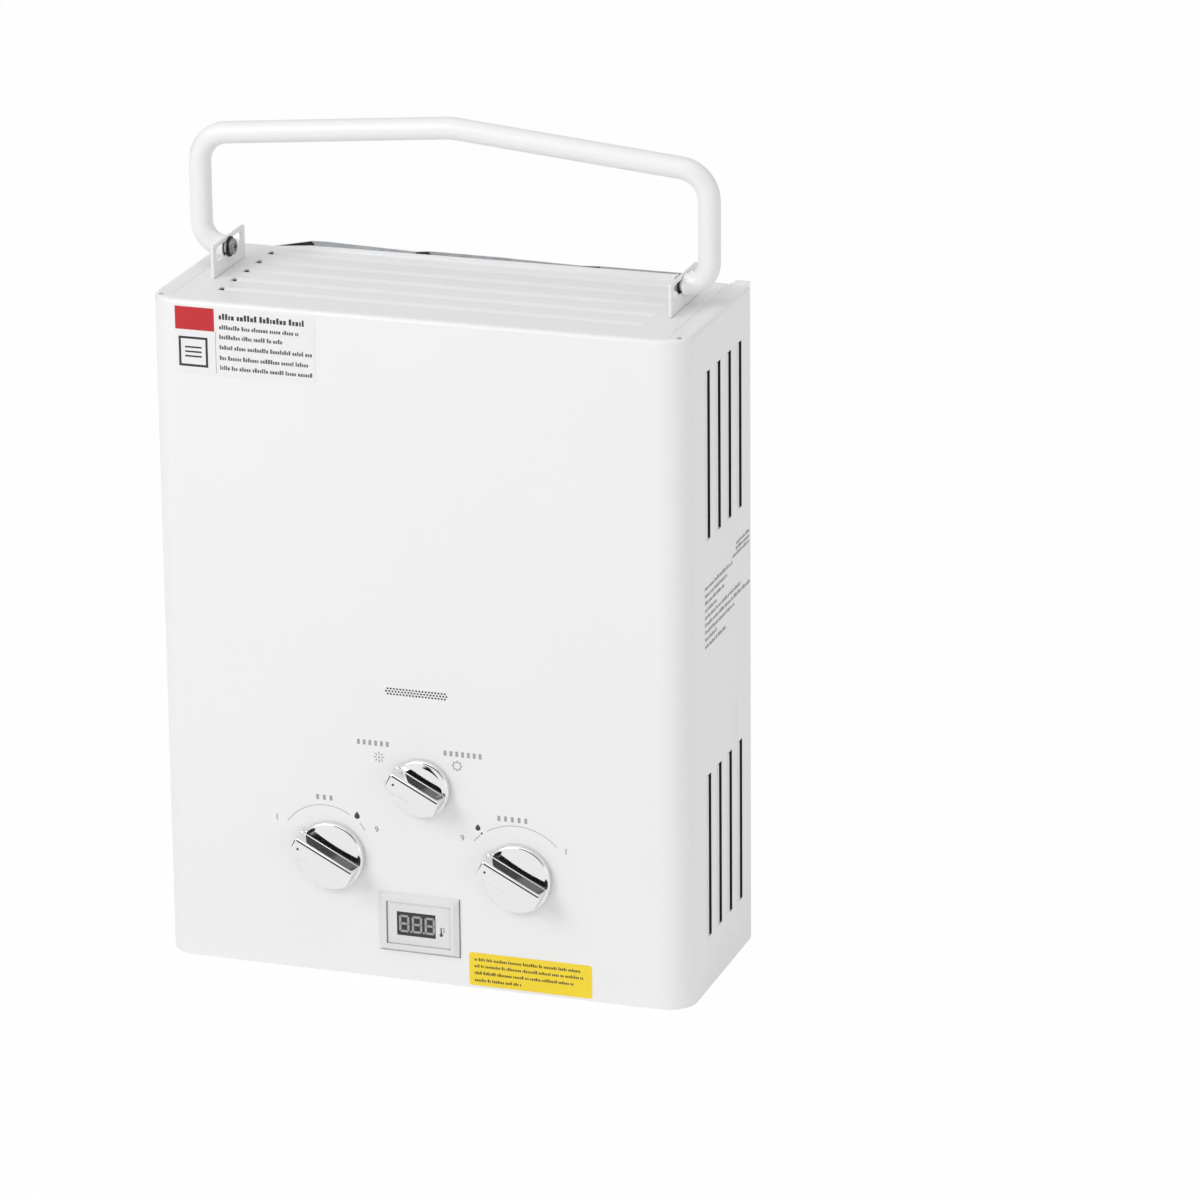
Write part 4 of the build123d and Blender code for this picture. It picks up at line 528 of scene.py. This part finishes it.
def words(u, v, length, height, seed):
    """Row of plain blocks, spaced like words."""
    draw = random.Random(seed)
    narrow, wide_block, low, tall_block = 0.28, 0.5, 0.68, 1.0
    block_gap, word_gap = 0.16 * height, 0.34 * height
    shapes = []
    end = u + length
    while u < end:
        for _ in range(draw.randint(2, 9)):
            wide = height * draw.uniform(narrow, wide_block)
            tall = height * draw.choice((low, low, tall_block))
            if u + wide < end:
                shapes.append(bar(u, u + wide, v, v + tall))
            u += wide + block_gap
        u += word_gap
    return shapes


def plain_row(u, v, length, height):
    """Even row of small upright blocks."""
    count = int(length / (1.1 * height))
    step, wide = length / count, 0.55 * height
    return [bar(u + i * step, u + i * step + wide, v, v + height) for i in range(count)]


# ---- Printed marks -------------------------------------------------------------------

INK_THICK = 0.04 * MM
DARK_SLOT, PALE_SLOT = "black_plastic", "grey_plastic"

# In millimetres. An arc is its centre, its radius and the angles of its ends.
ARCS = (((-55.0, 69.5), 26.2, 57, 146), ((53.8, 64.0), 31.6, 44, 122))
ARC_STROKES = (((-35.1, 87.5), (-32.3, 83.8)), ((33.4, 88.4), (29.7, 84.5)))
ARC_LINE, STROKE_LINE = 0.34, 0.45
FLAME, WATER_DROP, WATER_DOT = (-36.7, 91.8), (32.1, 92.5), (34.2, 89.3)
SNOW, SUN = (-23.4, 126.5), (20.8, 126.2)
NUMBERS = (
    (1, (-82.8, 85.8)), (9, (-25.6, 84.7)), (9, (23.2, 85.4)), (1, (81.6, 84.1)),
)
NUMBER_HEIGHT = 3.4
DIAL_ROWS = (  # left end, foot and length
    (-59.9, 98.6, 11.5), (43.2, 97.6, 19.0), (-35.8, 132.8, 19.7), (13.4, 131.4, 23.0),
)
DIAL_ROW_HEIGHT = 2.9
WHITE_LABEL_ROWS = (  # length and distance of the foot from the top edge
    (45.0, 11.0), (36.5, 16.3), (52.5, 22.0), (51.0, 27.8), (52.5, 33.2),
)
YELLOW_LABEL_ROWS = (  # distance from the top edge and share of the label's length
    (4.6, 0.93), (8.4, 0.96), (12.4, 0.88), (16.5, 0.42),
)
SIDE_ROWS_START, SIDE_ROWS_TOP, SIDE_ROWS_PITCH = -17.0, 226.6, 4.05
SIDE_ROW_LENGTHS = (49, 39, 34, 21, 63, 80, 52, 20, 36)
REAR_ROWS = ((38.0, 235.2), (37.5, 232.3), (31.5, 229.4))  # start and foot
REAR_ROWS_END = 62.0


def on_front(level):
    """Places flat shapes, given in X and Z, on a plane that faces the front."""
    return lambda u, v, lift: Vector((u, level - lift, v))


def on_side(level):
    """Places flat shapes, given in Y and Z, on a plane that faces right."""
    return lambda u, v, lift: Vector((level + lift, u, v))


def printed(name, shapes, finish, slot, place, body="casing", thick=INK_THICK):
    """Thin raised shapes of ink or film on a plane."""
    bm = bmesh.new()
    for shape in shapes:
        lower = [bm.verts.new(place(u, v, 0.0)) for u, v in shape]
        upper = [bm.verts.new(place(u, v, thick)) for u, v in shape]
        bm.faces.new(upper)
        bm.faces.new(lower[::-1])
        for i in range(len(shape)):
            bm.faces.new((lower[i - 1], lower[i], upper[i], upper[i - 1]))
    bmesh.ops.recalc_face_normals(bm, faces=bm.faces)
    return piece(name, bm, finish, body, slot)


def numerals(name, marks, height, finish, slot, place):
    """Plain numbers centred on points of a plane."""
    figure_share = 0.7
    bm = bmesh.new()
    for number, centre in marks:
        u, v = at(*centre)
        curve = bpy.data.curves.new(name, "FONT")
        curve.body = str(number)
        curve.size = height / figure_share
        curve.align_x = "CENTER"
        curve.align_y = "CENTER"
        holder = bpy.data.objects.new(name, curve)
        flat = bpy.data.meshes.new_from_object(holder)
        first = len(bm.verts)
        bm.from_mesh(flat)
        bm.verts.ensure_lookup_table()
        for vert in bm.verts[first:]:
            vert.co = place(u + vert.co.x, v + vert.co.y, INK_THICK)
        bpy.data.objects.remove(holder)
        bpy.data.curves.remove(curve)
        bpy.data.meshes.remove(flat)
    return piece(name, bm, finish, "casing", slot)


def dial_marks():
    """Arcs, pictograms, numbers and rows of blocks around the three knobs."""
    front = on_front(FRONT_Y)
    lines = [ring_part(at(*centre), radius * MM, ARC_LINE * MM, start, end)
             for centre, radius, start, end in ARCS]
    lines += [stroke(at(*start), at(*end), STROKE_LINE * MM)
              for start, end in ARC_STROKES]
    printed("dial_lines", lines, PALE_INK, PALE_SLOT, front)
    flame = drop(at(*FLAME), 3.2 * MM, 4.2 * MM)
    water_drop = drop(at(*WATER_DROP), 3.0 * MM, 3.6 * MM)
    shapes = [flame, water_drop, disc(at(*WATER_DOT), 0.6 * MM)]
    printed("dial_pictograms", shapes, GREY_INK, DARK_SLOT, front)
    printed("season_pictograms", season_shapes(), PALE_INK, PALE_SLOT, front)
    numerals("dial_numbers", NUMBERS, NUMBER_HEIGHT * MM, MID_INK, PALE_SLOT, front)
    shapes = []
    for u, v, length in DIAL_ROWS:
        shapes += plain_row(u * MM, v * MM, length * MM, DIAL_ROW_HEIGHT * MM)
    printed("dial_rows", shapes, PALE_INK, PALE_SLOT, front)


def season_shapes():
    """A snowflake of eight short arms and a sun of a ring with eight rays."""
    snow, sun = at(*SNOW), at(*SUN)
    shapes = [disc(snow, 0.6 * MM, 12)]
    for i in range(8):
        arm = Vector((cos(i * pi / 4), sin(i * pi / 4))) * MM
        shapes.append(stroke(snow + arm * 1.5, snow + arm * 3.0, 0.6 * MM))
        shapes.append(stroke(sun + arm * 2.5, sun + arm * 3.1, 0.7 * MM))
    for start in (0, 180):
        shapes.append(ring_part(sun, 2.1 * MM, 0.55 * MM, start, start + 180))
    return shapes


def upper_label_print():
    """Plain red field, divider, rows of blocks and framed panel on the white label."""
    low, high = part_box("upper_label")
    film_front = on_front(low.y)
    rows_wide, field_tall = 56.0 * MM, 12.6 * MM
    split, field_foot = high.x - rows_wide, high.z - field_tall
    field = bar(low.x, split - 0.6 * MM, field_foot, high.z)
    printed("label_red_field", [field], RED_INK, "white_label", film_front)
    half_line = 0.15 * MM
    divider = bar(split - half_line, split + half_line, low.z + 1.0 * MM, field_foot)
    printed("label_divider", [divider], PALE_INK, PALE_SLOT, film_front)
    left = split + 2.2 * MM
    heading = words(left, high.z - 5.6 * MM, 48.5 * MM, 3.3 * MM, seed=3)
    printed("label_heading", heading, GREY_INK, DARK_SLOT, film_front)
    rows = []
    for i, (length, down) in enumerate(WHITE_LABEL_ROWS):
        rows += words(left, high.z - down * MM, length * MM, 2.35 * MM, seed=11 + i)
    printed("label_rows", rows, DULL_INK, DARK_SLOT, film_front)
    centre = Vector(((low.x + split) / 2 - 1.4 * MM, low.z + 12.0 * MM))
    half, indent, frame_line, line = 8.2 * MM, 3.5 * MM, 1.25 * MM, 0.9 * MM
    panel = square_frame(centre, half, frame_line)
    reach = half - indent
    for rise in (-3.0, -0.5, 2.0):
        foot = centre.y + rise * MM
        panel.append(bar(centre.x - reach, centre.x + reach, foot, foot + line))
    printed("label_panel", panel, BLACK_INK, DARK_SLOT, film_front)


def lower_label_print():
    """Rows of blocks on the yellow label."""
    low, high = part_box("lower_label")
    left, room = low.x + 3.0 * MM, high.x - low.x - 5.0 * MM
    shapes = []
    for i, (down, share) in enumerate(YELLOW_LABEL_ROWS):
        shapes += words(left, high.z - down * MM, share * room, 1.8 * MM, seed=31 + i)
    printed("yellow_label_rows", shapes, OLIVE_INK, DARK_SLOT, on_front(low.y))


def side_print():
    """Rows of plain blocks on the right side."""
    start, top = SIDE_ROWS_START * MM, SIDE_ROWS_TOP * MM
    shapes = []
    for i, length in enumerate(SIDE_ROW_LENGTHS):
        foot = top - i * SIDE_ROWS_PITCH * MM
        shapes += words(start, foot, length * MM, 2.2 * MM, seed=51 + i)
    for i, (begin, foot) in enumerate(REAR_ROWS):
        length = (REAR_ROWS_END - begin) * MM
        shapes += words(begin * MM, foot * MM, length, 2.0 * MM, seed=71 + i)
    printed("side_rows", shapes, MID_INK, DARK_SLOT, on_side(SIDE_X))


# ---- Display -------------------------------------------------------------------------

def figure(u, v, wide, tall, line):
    """Seven bars of one figure, all lit."""
    gap = 0.12 * MM
    half = line / 2
    middle = v + tall / 2
    left, right = u + half + gap, u + wide - half - gap
    shapes = [bar(left, right, foot, foot + line)
              for foot in (v, middle - half, v + tall - line)]
    for side in (u, u + wide - line):
        shapes.append(bar(side, side + line, v + half + gap, middle - gap))
        shapes.append(bar(side, side + line, middle + gap, v + tall - half - gap))
    return shapes


def display_digits():
    """Three figures with points between them, and a small thermometer mark."""
    low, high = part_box("display_pane")
    wide, tall, line, pitch = 5.8 * MM, 9.8 * MM, 1.2 * MM, 7.3 * MM
    margin = 1.2 * MM
    foot = (low.z + high.z - tall) / 2
    shapes = []
    for i in range(3):
        start = low.x + margin + i * pitch
        shapes += figure(start, foot, wide, tall, line)
        if i < 2:
            point = (start + wide + 0.95 * MM, foot + 0.5 * MM)
            shapes.append(disc(point, 0.6 * MM, 12))
    printed("display_digits", shapes, SEGMENT, PALE_SLOT, on_front(low.y))

    u, v = high.x + 3.2 * MM, low.z + 2.6 * MM
    mark = [disc((u, v), 1.0 * MM), bar(u - 0.4 * MM, u + 0.4 * MM, v, v + 4.2 * MM)]
    for rise in (1.6, 2.7, 3.8):
        tick = v + rise * MM
        mark.append(bar(u + 1.0 * MM, u + 2.1 * MM, tick, tick + 0.4 * MM))
    face = on_front(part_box("display_face")[0].y)
    printed("display_mark", mark, DULL_INK, DARK_SLOT, face)


def display_gaps():
    """Painted shade in the gaps round the face, and a painted shadow along the left, right and lower edges of the
    bezel.
    """
    low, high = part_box("display_face")
    side, thin = 0.45 * MM, 0.2 * MM
    shapes = [bar(u, u + side, low.z, high.z) for u in (low.x, high.x - side)]
    shapes += [bar(low.x, high.x, v, v + thin) for v in (low.z, high.z - thin)]
    printed("display_joint", shapes, DULL_INK, DARK_SLOT, on_front(low.y))

    # Painted shadow outside the bezel's left, right and lower edges; none along the top.
    low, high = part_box("display_bezel")
    wide, slim = 0.5 * MM, 0.35 * MM
    shapes = [
        bar(low.x - slim, low.x, low.z - wide, high.z),
        bar(high.x, high.x + wide, low.z - wide, high.z),
        bar(low.x, high.x, low.z - wide, low.z),
    ]
    printed("bezel_joint", shapes, MID_INK, PALE_SLOT, on_front(FRONT_Y))


# ---- Knobs ---------------------------------------------------------------------------

KNOBS = {
    "gas_knob": "gas_turn", "water_knob": "water_turn", "season_knob": "season_turn",
}
KNOB_ANGLE = radians(152.5)
KNOB_STEPS = 120
SMALL_KNOB = 17 * MM
SMALL_KNOB_STEP = 0.2 * MM
SKIRT = 4.5 * MM
SKIRT_ROUND = 1.0 * MM
DOME_CURVE = 110 * MM
GRIP_HALF = 5.0 * MM
GRIP_OVERHANG = 0.8 * MM
GRIP_HEEL = 1.4 * MM
GRIP_CORNER, GRIP_LEAST_CORNER = 1.4 * MM, 0.35 * MM
GRIP_ROOT = 2.5 * MM
GRIP_DRAFT = 0.12 * MM
GRIP_FOOT = 0.45 * MM
GRIP_EDGE = 1.7 * MM
GRIP_FLAT = 0.3 * MM


def knob(node, joint):
    """Chromed disc with a shallow dome and a grip bar across it."""
    pivot = Vector(JOINTS[joint]["pos_m"])
    low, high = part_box(node)
    radius = high.x - pivot.x
    back, front = FRONT_Y - high.y, FRONT_Y - low.y - INK_THICK
    across = Vector((cos(KNOB_ANGLE), 0, sin(KNOB_ANGLE)))
    along = Vector((-sin(KNOB_ANGLE), 0, cos(KNOB_ANGLE)))

    def place(u, v, depth):
        """Point from its place along the pointer, beside it and out of the front."""
        start = Vector((pivot.x, FRONT_Y - depth, pivot.z))
        return start + across * u + along * v

    bm = bmesh.new()
    step = SMALL_KNOB_STEP if radius < SMALL_KNOB else 0
    profile, crown = disc_profile(radius, back, step)
    verts = [bm.verts.new(place(u, 0, depth)) for u, depth in profile]
    edges = [bm.edges.new(pair) for pair in zip(verts, verts[1:])]
    bmesh.ops.spin(bm, geom=verts + edges, cent=place(0, 0, 0), axis=(0, 1, 0),
                   angle=2 * pi, steps=KNOB_STEPS, use_merge=True)
    bmesh.ops.remove_doubles(bm, verts=bm.verts, dist=0.0001 * MM)
    grip(bm, place, radius, crown, front)
    bmesh.ops.recalc_face_normals(bm, faces=bm.faces)
    stand_in(node, bm, "_body", angle=30)
    spot = place(radius - 3.6 * MM, 0, 0)
    shapes = [disc((spot.x, spot.z), 0.7 * MM)]
    face = on_front(FRONT_Y - front)
    printed(node + "_dot", shapes, GREY_INK, DARK_SLOT, face, BODY_OF[node])


def disc_profile(radius, back, step):
    """Half section of a knob's disc, and the height of its dome."""
    chamfer = 0.3 * MM
    profile = [(0, back), (radius - chamfer, back), (radius, back + chamfer)]
    round_centre = (radius - SKIRT_ROUND, SKIRT - SKIRT_ROUND)
    profile += arc(round_centre, SKIRT_ROUND, 0, 90, 6)
    rise = 1.5 * step
    profile.append((radius - 1.5 * MM, SKIRT + 0.35 * rise))
    profile.append((radius - 2.4 * MM, SKIRT + rise))
    dome_edge, shoulder = radius - 2.5 * MM, 1.2 * MM
    level = SKIRT + rise + step
    shoulder_shares = (0.12, 0.3, 0.5, 0.72, 1.0)
    dome_shares = (0.93, 0.85, 0.7, 0.55, 0.4, 0.25, 0.12, 0)

    def dome(u):
        """Height of the dome at a distance from the axis."""
        return level + (dome_edge ** 2 - u ** 2) / (2 * DOME_CURVE)

    for share in shoulder_shares:
        u = dome_edge - shoulder * share
        profile.append((u, dome(u) - step * (1 - share) ** 2))
    for share in dome_shares:
        u = (dome_edge - shoulder) * share
        profile.append((u, dome(u)))
    return profile, dome(0)


def grip_levels(crown, front):
    """Depths of the grip's outlines, and how far each one grows past the bar."""
    shoulder = front - GRIP_EDGE
    levels = [(GRIP_ROOT, GRIP_DRAFT + GRIP_FOOT)]
    for i in range(6):
        turn = pi / 2 * i / 5
        depth = crown + GRIP_FOOT * (1 - cos(turn))
        levels.append((depth, GRIP_DRAFT + GRIP_FOOT * (1 - sin(turn))))
    levels.append((crown + GRIP_FOOT + GRIP_FLAT, GRIP_DRAFT * 0.95))
    levels.append((shoulder - GRIP_FLAT, GRIP_DRAFT * 0.05))
    for i in range(9):
        turn = pi / 2 * i / 8
        levels.append((shoulder + GRIP_EDGE * sin(turn), GRIP_EDGE * (cos(turn) - 1)))
    levels.append((front, -GRIP_EDGE - GRIP_FLAT))
    return levels


def grip(bm, place, radius, crown, front):
    """Grip bar as a stack of rounded outlines, wide at its foot, round at its face."""
    tip, heel = radius + GRIP_OVERHANG - GRIP_DRAFT, radius - GRIP_HEEL
    corners = (
        (tip, GRIP_HALF, 0), (-heel, GRIP_HALF, 90),
        (-heel, -GRIP_HALF, 180), (tip, -GRIP_HALF, 270),
    )
    loops = []
    for depth, grow in grip_levels(crown, front):
        corner = max(GRIP_CORNER + grow, GRIP_LEAST_CORNER)
        outline = []
        for u, v, start in corners:
            u += (grow - corner) * (1 if u > 0 else -1)
            v += (grow - corner) * (1 if v > 0 else -1)
            outline += arc((u, v), corner, start, start + 90, 6)
        loops.append([bm.verts.new(place(u, v, depth)) for u, v in outline])
    for lower, upper in zip(loops, loops[1:]):
        for i in range(len(lower)):
            bm.faces.new((lower[i - 1], lower[i], upper[i], upper[i - 1]))
    bm.faces.new(loops[-1])
    bm.faces.new(loops[0][::-1])


# ---- Top seams and pipe fittings -----------------------------------------------------

FITTINGS = ("gas_inlet", "cold_inlet", "hot_outlet")


def rim_seals():
    """Black strips of painted shadow behind the rear lip of the top, where the rear panel's rim rises."""
    points = [vert.co for vert in frame["nodes"]["rear_panel"].data.vertices]
    edge = [point for point in points if point.z > TOP_Z - 0.5 * MM]
    rim = sorted({(round(point.x, 5), round(point.z, 5)) for point in edge})
    run_on, drop_down, under = 1.5 * MM, 1.5 * MM, 0.1 * MM
    least_rise, longest_run, least_height = 0.4 * MM, 30 * MM, TOP_Z + 2 * MM
    left_end = -100 * MM
    shapes = []
    for (x0, z0), (x1, z1) in zip(rim, rim[1:]):
        rises = z1 - z0 > least_rise and x1 - x0 < longest_run
        if rises and z1 > least_height and x1 > left_end:
            end = x1 + run_on
            shapes.append([
                (x0, TOP_Z), (end, TOP_Z), (end, z1 - drop_down),
                (x1, z1 - under), (x0, z0 - under),
            ])
    rim_front = on_front(RIM_Y)
    printed("rim_seals", shapes, SHADOW_BLACK, DARK_SLOT, rim_front, thick=0.15 * MM)


def seam_folds():
    """Painted folds at the bottom of the two seams in the top."""
    near, far = FRONT_Y + 9.5 * MM, RIM_Y - 1.5 * MM
    seam, half = SIDE_X - SIDE_FLANGE, 0.7 * MM
    under, thick = 0.2 * MM, 0.6 * MM
    bottom, top = TOP_Z - under - thick, TOP_Z - under
    quads = (
        (0, 1, 3, 2), (4, 5, 7, 6), (0, 1, 5, 4),
        (2, 3, 7, 6), (0, 2, 6, 4), (1, 3, 7, 5),
    )
    bm = bmesh.new()
    for side in (-1, 1):
        sides = (side * seam - half, side * seam + half)
        corners = [(x, y, z) for x in sides for y in (near, far) for z in (bottom, top)]
        verts = [bm.verts.new(corner) for corner in corners]
        for quad in quads:
            bm.faces.new([verts[i] for i in quad])
    bmesh.ops.recalc_face_normals(bm, faces=bm.faces)
    piece("seam_folds", bm, WHITE, "casing", "white_paint")


def threaded(node):
    """Pipe fitting with a helical thread on its lower end in place of the plain one."""
    low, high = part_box(node)
    axis = Vector(((low.x + high.x) / 2, (low.y + high.y) / 2))
    major, core, pitch = 10.4 * MM, 9.3 * MM, 1.81 * MM
    thread_top, root = low.z + 15.2 * MM, core - 0.1 * MM
    plain_low, plain_high = 9.6 * MM, 10.6 * MM
    bm = cad_form(node)
    for vert in bm.verts:
        offset = vert.co.xy - axis
        if vert.co.z < thread_top and plain_low < offset.length < plain_high:
            vert.co.xy = axis + offset.normalized() * core
    turns, steps_a_turn, start = 7.6, 48, low.z + 0.9 * MM
    run_out = steps_a_turn / 2
    steps = int(turns * steps_a_turn)
    rows = []
    for i in range(steps + 1):
        angle = 2 * pi * i / steps_a_turn
        crest = root + (major - root) * min(1.0, i / run_out, (steps - i) / run_out)
        z = start + pitch * i / steps_a_turn
        points = ((root, -0.48), (crest, -0.08), (crest, 0.08), (root, 0.48))
        row = [(axis.x + reach * cos(angle), axis.y + reach * sin(angle),
                z + rise * pitch) for reach, rise in points]
        rows.append([bm.verts.new(point) for point in row])
    for lower, upper in zip(rows, rows[1:]):
        for i in range(3):
            bm.faces.new((lower[i], lower[i + 1], upper[i + 1], upper[i]))
    bm.faces.new(rows[0])
    bm.faces.new(rows[-1][::-1])
    bmesh.ops.recalc_face_normals(bm, faces=bm.faces)
    stand_in(node, bm)


# ---- Stage ---------------------------------------------------------------------------

SKY = (0.565, 0.565, 0.567825)
WHITE_LIGHT = (1.0, 1.0, 1.0)

# Darker zones of the room in glossy surfaces, as ranges of a direction: from, to, soft
FRONT_ABOVE, FRONT_AHEAD = (0.0, 0.76, 0.03), (-1.2, -0.2, 0.1)
FRONT_ACROSS = (-0.27, 2.0, 0.08)
LEFT_ACROSS, LEFT_ABOVE = (-2.0, -0.75, 0.05), (-1.0, 0.3, 0.05)
REAR_AHEAD = (0.2, 2.0, 0.4)
SLANT_LIT, SLANT_LEAN = (0.44, 3.0, 0.06), 0.4
RIGHT_LIT = (0.2, 2.0, 0.05)
DARKEST, SLANT_TONE, RIGHT_TONE = 0.006, 0.07, 0.14
REAR_TONE = (0.72, 0.72, 0.72)

FLOOR_HALF = 3.0
FLOOR_GREY = (0.9, 0.9, 0.9)
FLOOR_GLOW = 0.968

LAMPS = (  # name, place, target, size and power
    ("key", (-1.35, -1.9, 1.8), (0, 0, 0.2), 1.6, 29.5),
    ("right_fill", (2.2, -1.2, 1.0), (0, 0, 0.2), 1.5, 3.0),
    ("low_fill", (1.9, -1.7, 0.3), (0, 0, 0.1), 1.0, 5.0),
    ("top_fill", (0.2, -0.6, 2.4), (0, 0, 0.3), 1.2, 4.0),
)

CAMERA_AZIMUTH, CAMERA_ELEVATION, CAMERA_ROLL = radians(18.59), radians(18.87), -0.00929
CAMERA_AIM = Vector((0, 0.0078, 0.195))
CAMERA_DISTANCE, CAMERA_SHIFT = 3.5253, (0.07846, 0.00370)
FOCAL_PIXELS, PICTURE_PIXELS, SENSOR = 6555.84, 1200, 36.0


def studio_world(scene):
    """White as seen, a plain level as light, and darker zones in glossy surfaces."""
    world = bpy.data.worlds.new("studio")
    scene.world = world
    world.use_nodes = True
    graph = Graph(world.node_tree)
    glossy = graph.ray("Is Glossy Ray")
    seen = graph.most(
        graph.ray("Is Camera Ray"), graph.ray("Is Transmission Ray"), glossy)
    lit = graph.mix(seen, SKY, WHITE_LIGHT)

    direction = graph.node("TexCoord", output="Generated")
    split = graph.node("SeparateXYZ", inputs={0: direction}).socket.node
    across, ahead, above = [Wire(graph, output) for output in split.outputs]
    front = graph.within(above, *FRONT_ABOVE) * graph.within(ahead, *FRONT_AHEAD)
    front = front * graph.within(across, *FRONT_ACROSS)
    left = graph.within(across, *LEFT_ACROSS) * graph.within(above, *LEFT_ABOVE)
    dark = graph.most(front, left) * glossy
    slant = graph.within(above + across * SLANT_LEAN, *SLANT_LIT)
    tone = graph.within(across, *RIGHT_LIT) * RIGHT_TONE + SLANT_TONE
    tone = slant * tone + DARKEST
    rear = graph.within(ahead, *REAR_AHEAD) * glossy
    colour = graph.mix(dark, graph.mix(rear, lit, REAR_TONE), tone)
    graph.put(world.node_tree.nodes["Background"].inputs["Color"], colour)


def white_floor(scene):
    """Floor that shows the object's shadow and is white elsewhere."""
    bm = bmesh.new()
    bmesh.ops.create_grid(bm, x_segments=1, y_segments=1, size=FLOOR_HALF)
    mesh = bpy.data.meshes.new("floor")
    bm.to_mesh(mesh)
    bm.free()
    floor = bpy.data.objects.new("floor", mesh)
    scene.collection.objects.link(floor)
    finish = Finish("floor_white", FLOOR_GREY, roughness=0.9)
    seen = finish.most(finish.ray("Is Camera Ray"), finish.ray("Is Glossy Ray"))
    lit, glow = Wire(finish, finish.shader.outputs[0]), finish.node("Emission")
    inputs = {0: seen * FLOOR_GLOW, 1: lit, 2: glow}
    surface = finish.tree.nodes["Material Output"].inputs["Surface"]
    finish.put(surface, finish.node("MixShader", inputs=inputs))
    mesh.materials.append(finish.material)


def lamp(scene, name, place, target, size, power):
    """Square area lamp aimed at a point."""
    light = bpy.data.lights.new(name, "AREA")
    light.size = size
    light.energy = power
    holder = bpy.data.objects.new(name, light)
    holder.location = place
    aim = Vector(target) - Vector(place)
    holder.rotation_euler = aim.to_track_quat("-Z", "Y").to_euler()
    scene.collection.objects.link(holder)


def camera(scene):
    """Camera at the viewing angle of a long lens, a little above and to the right."""
    turn_cos, turn_sin = cos(CAMERA_AZIMUTH), sin(CAMERA_AZIMUTH)
    rise_cos, rise_sin = cos(CAMERA_ELEVATION), sin(CAMERA_ELEVATION)
    back = Vector((turn_sin * rise_cos, -turn_cos * rise_cos, rise_sin))
    level_right = Vector((turn_cos, turn_sin, 0))
    level_up = back.cross(level_right)
    right = cos(CAMERA_ROLL) * level_right + sin(CAMERA_ROLL) * level_up
    up = -sin(CAMERA_ROLL) * level_right + cos(CAMERA_ROLL) * level_up
    shift_right, shift_up = CAMERA_SHIFT
    place = CAMERA_AIM + shift_right * right + shift_up * up + CAMERA_DISTANCE * back
    turn = Matrix((right, up, back)).transposed().to_4x4()
    lens = bpy.data.cameras.new("camera")
    lens.sensor_width = SENSOR
    lens.lens = FOCAL_PIXELS / PICTURE_PIXELS * SENSOR
    lens.clip_end = 50.0
    holder = bpy.data.objects.new("camera", lens)
    holder.matrix_world = Matrix.Translation(place) @ turn
    scene.collection.objects.link(holder)
    scene.camera = holder


def stage_and_light():
    """White floor and backdrop, soft light and the camera."""
    scene = bpy.context.scene
    scene.view_settings.view_transform = "Standard"
    studio_world(scene)
    white_floor(scene)
    for settings in LAMPS:
        lamp(scene, *settings)
    camera(scene)


# ---- The heater ----------------------------------------------------------------------

SOFT_EDGES = {  # rounding of the sharp edges in millimetres
    "front_cover": 0.25, "rear_panel": 0.25, "bottom_plate": 0.25,
    "handle_bracket_left": 0.3, "handle_bracket_right": 0.3, "handle_washers": 0.15,
    "battery_box": 0.4, "battery_lid": 0.4, "ignition_controller": 0.5,
    "display_bezel": 0.15, "display_face": 0.1, "display_body": 0.3,
    "drain_knob": 0.3, "cover_screws": 0.1,
}

stage_and_light()

for node in frame["nodes"]:
    if node in KNOBS:
        knob(node, KNOBS[node])
    elif node in FITTINGS:
        threaded(node)
    else:
        skin = stand_in(node, cad_form(node), edge=SOFT_EDGES.get(node, 0) * MM)
        if node == "front_cover":
            line_the_inside(skin)

dial_marks()
upper_label_print()
lower_label_print()
side_print()
display_digits()
display_gaps()
rim_seals()
seam_folds()
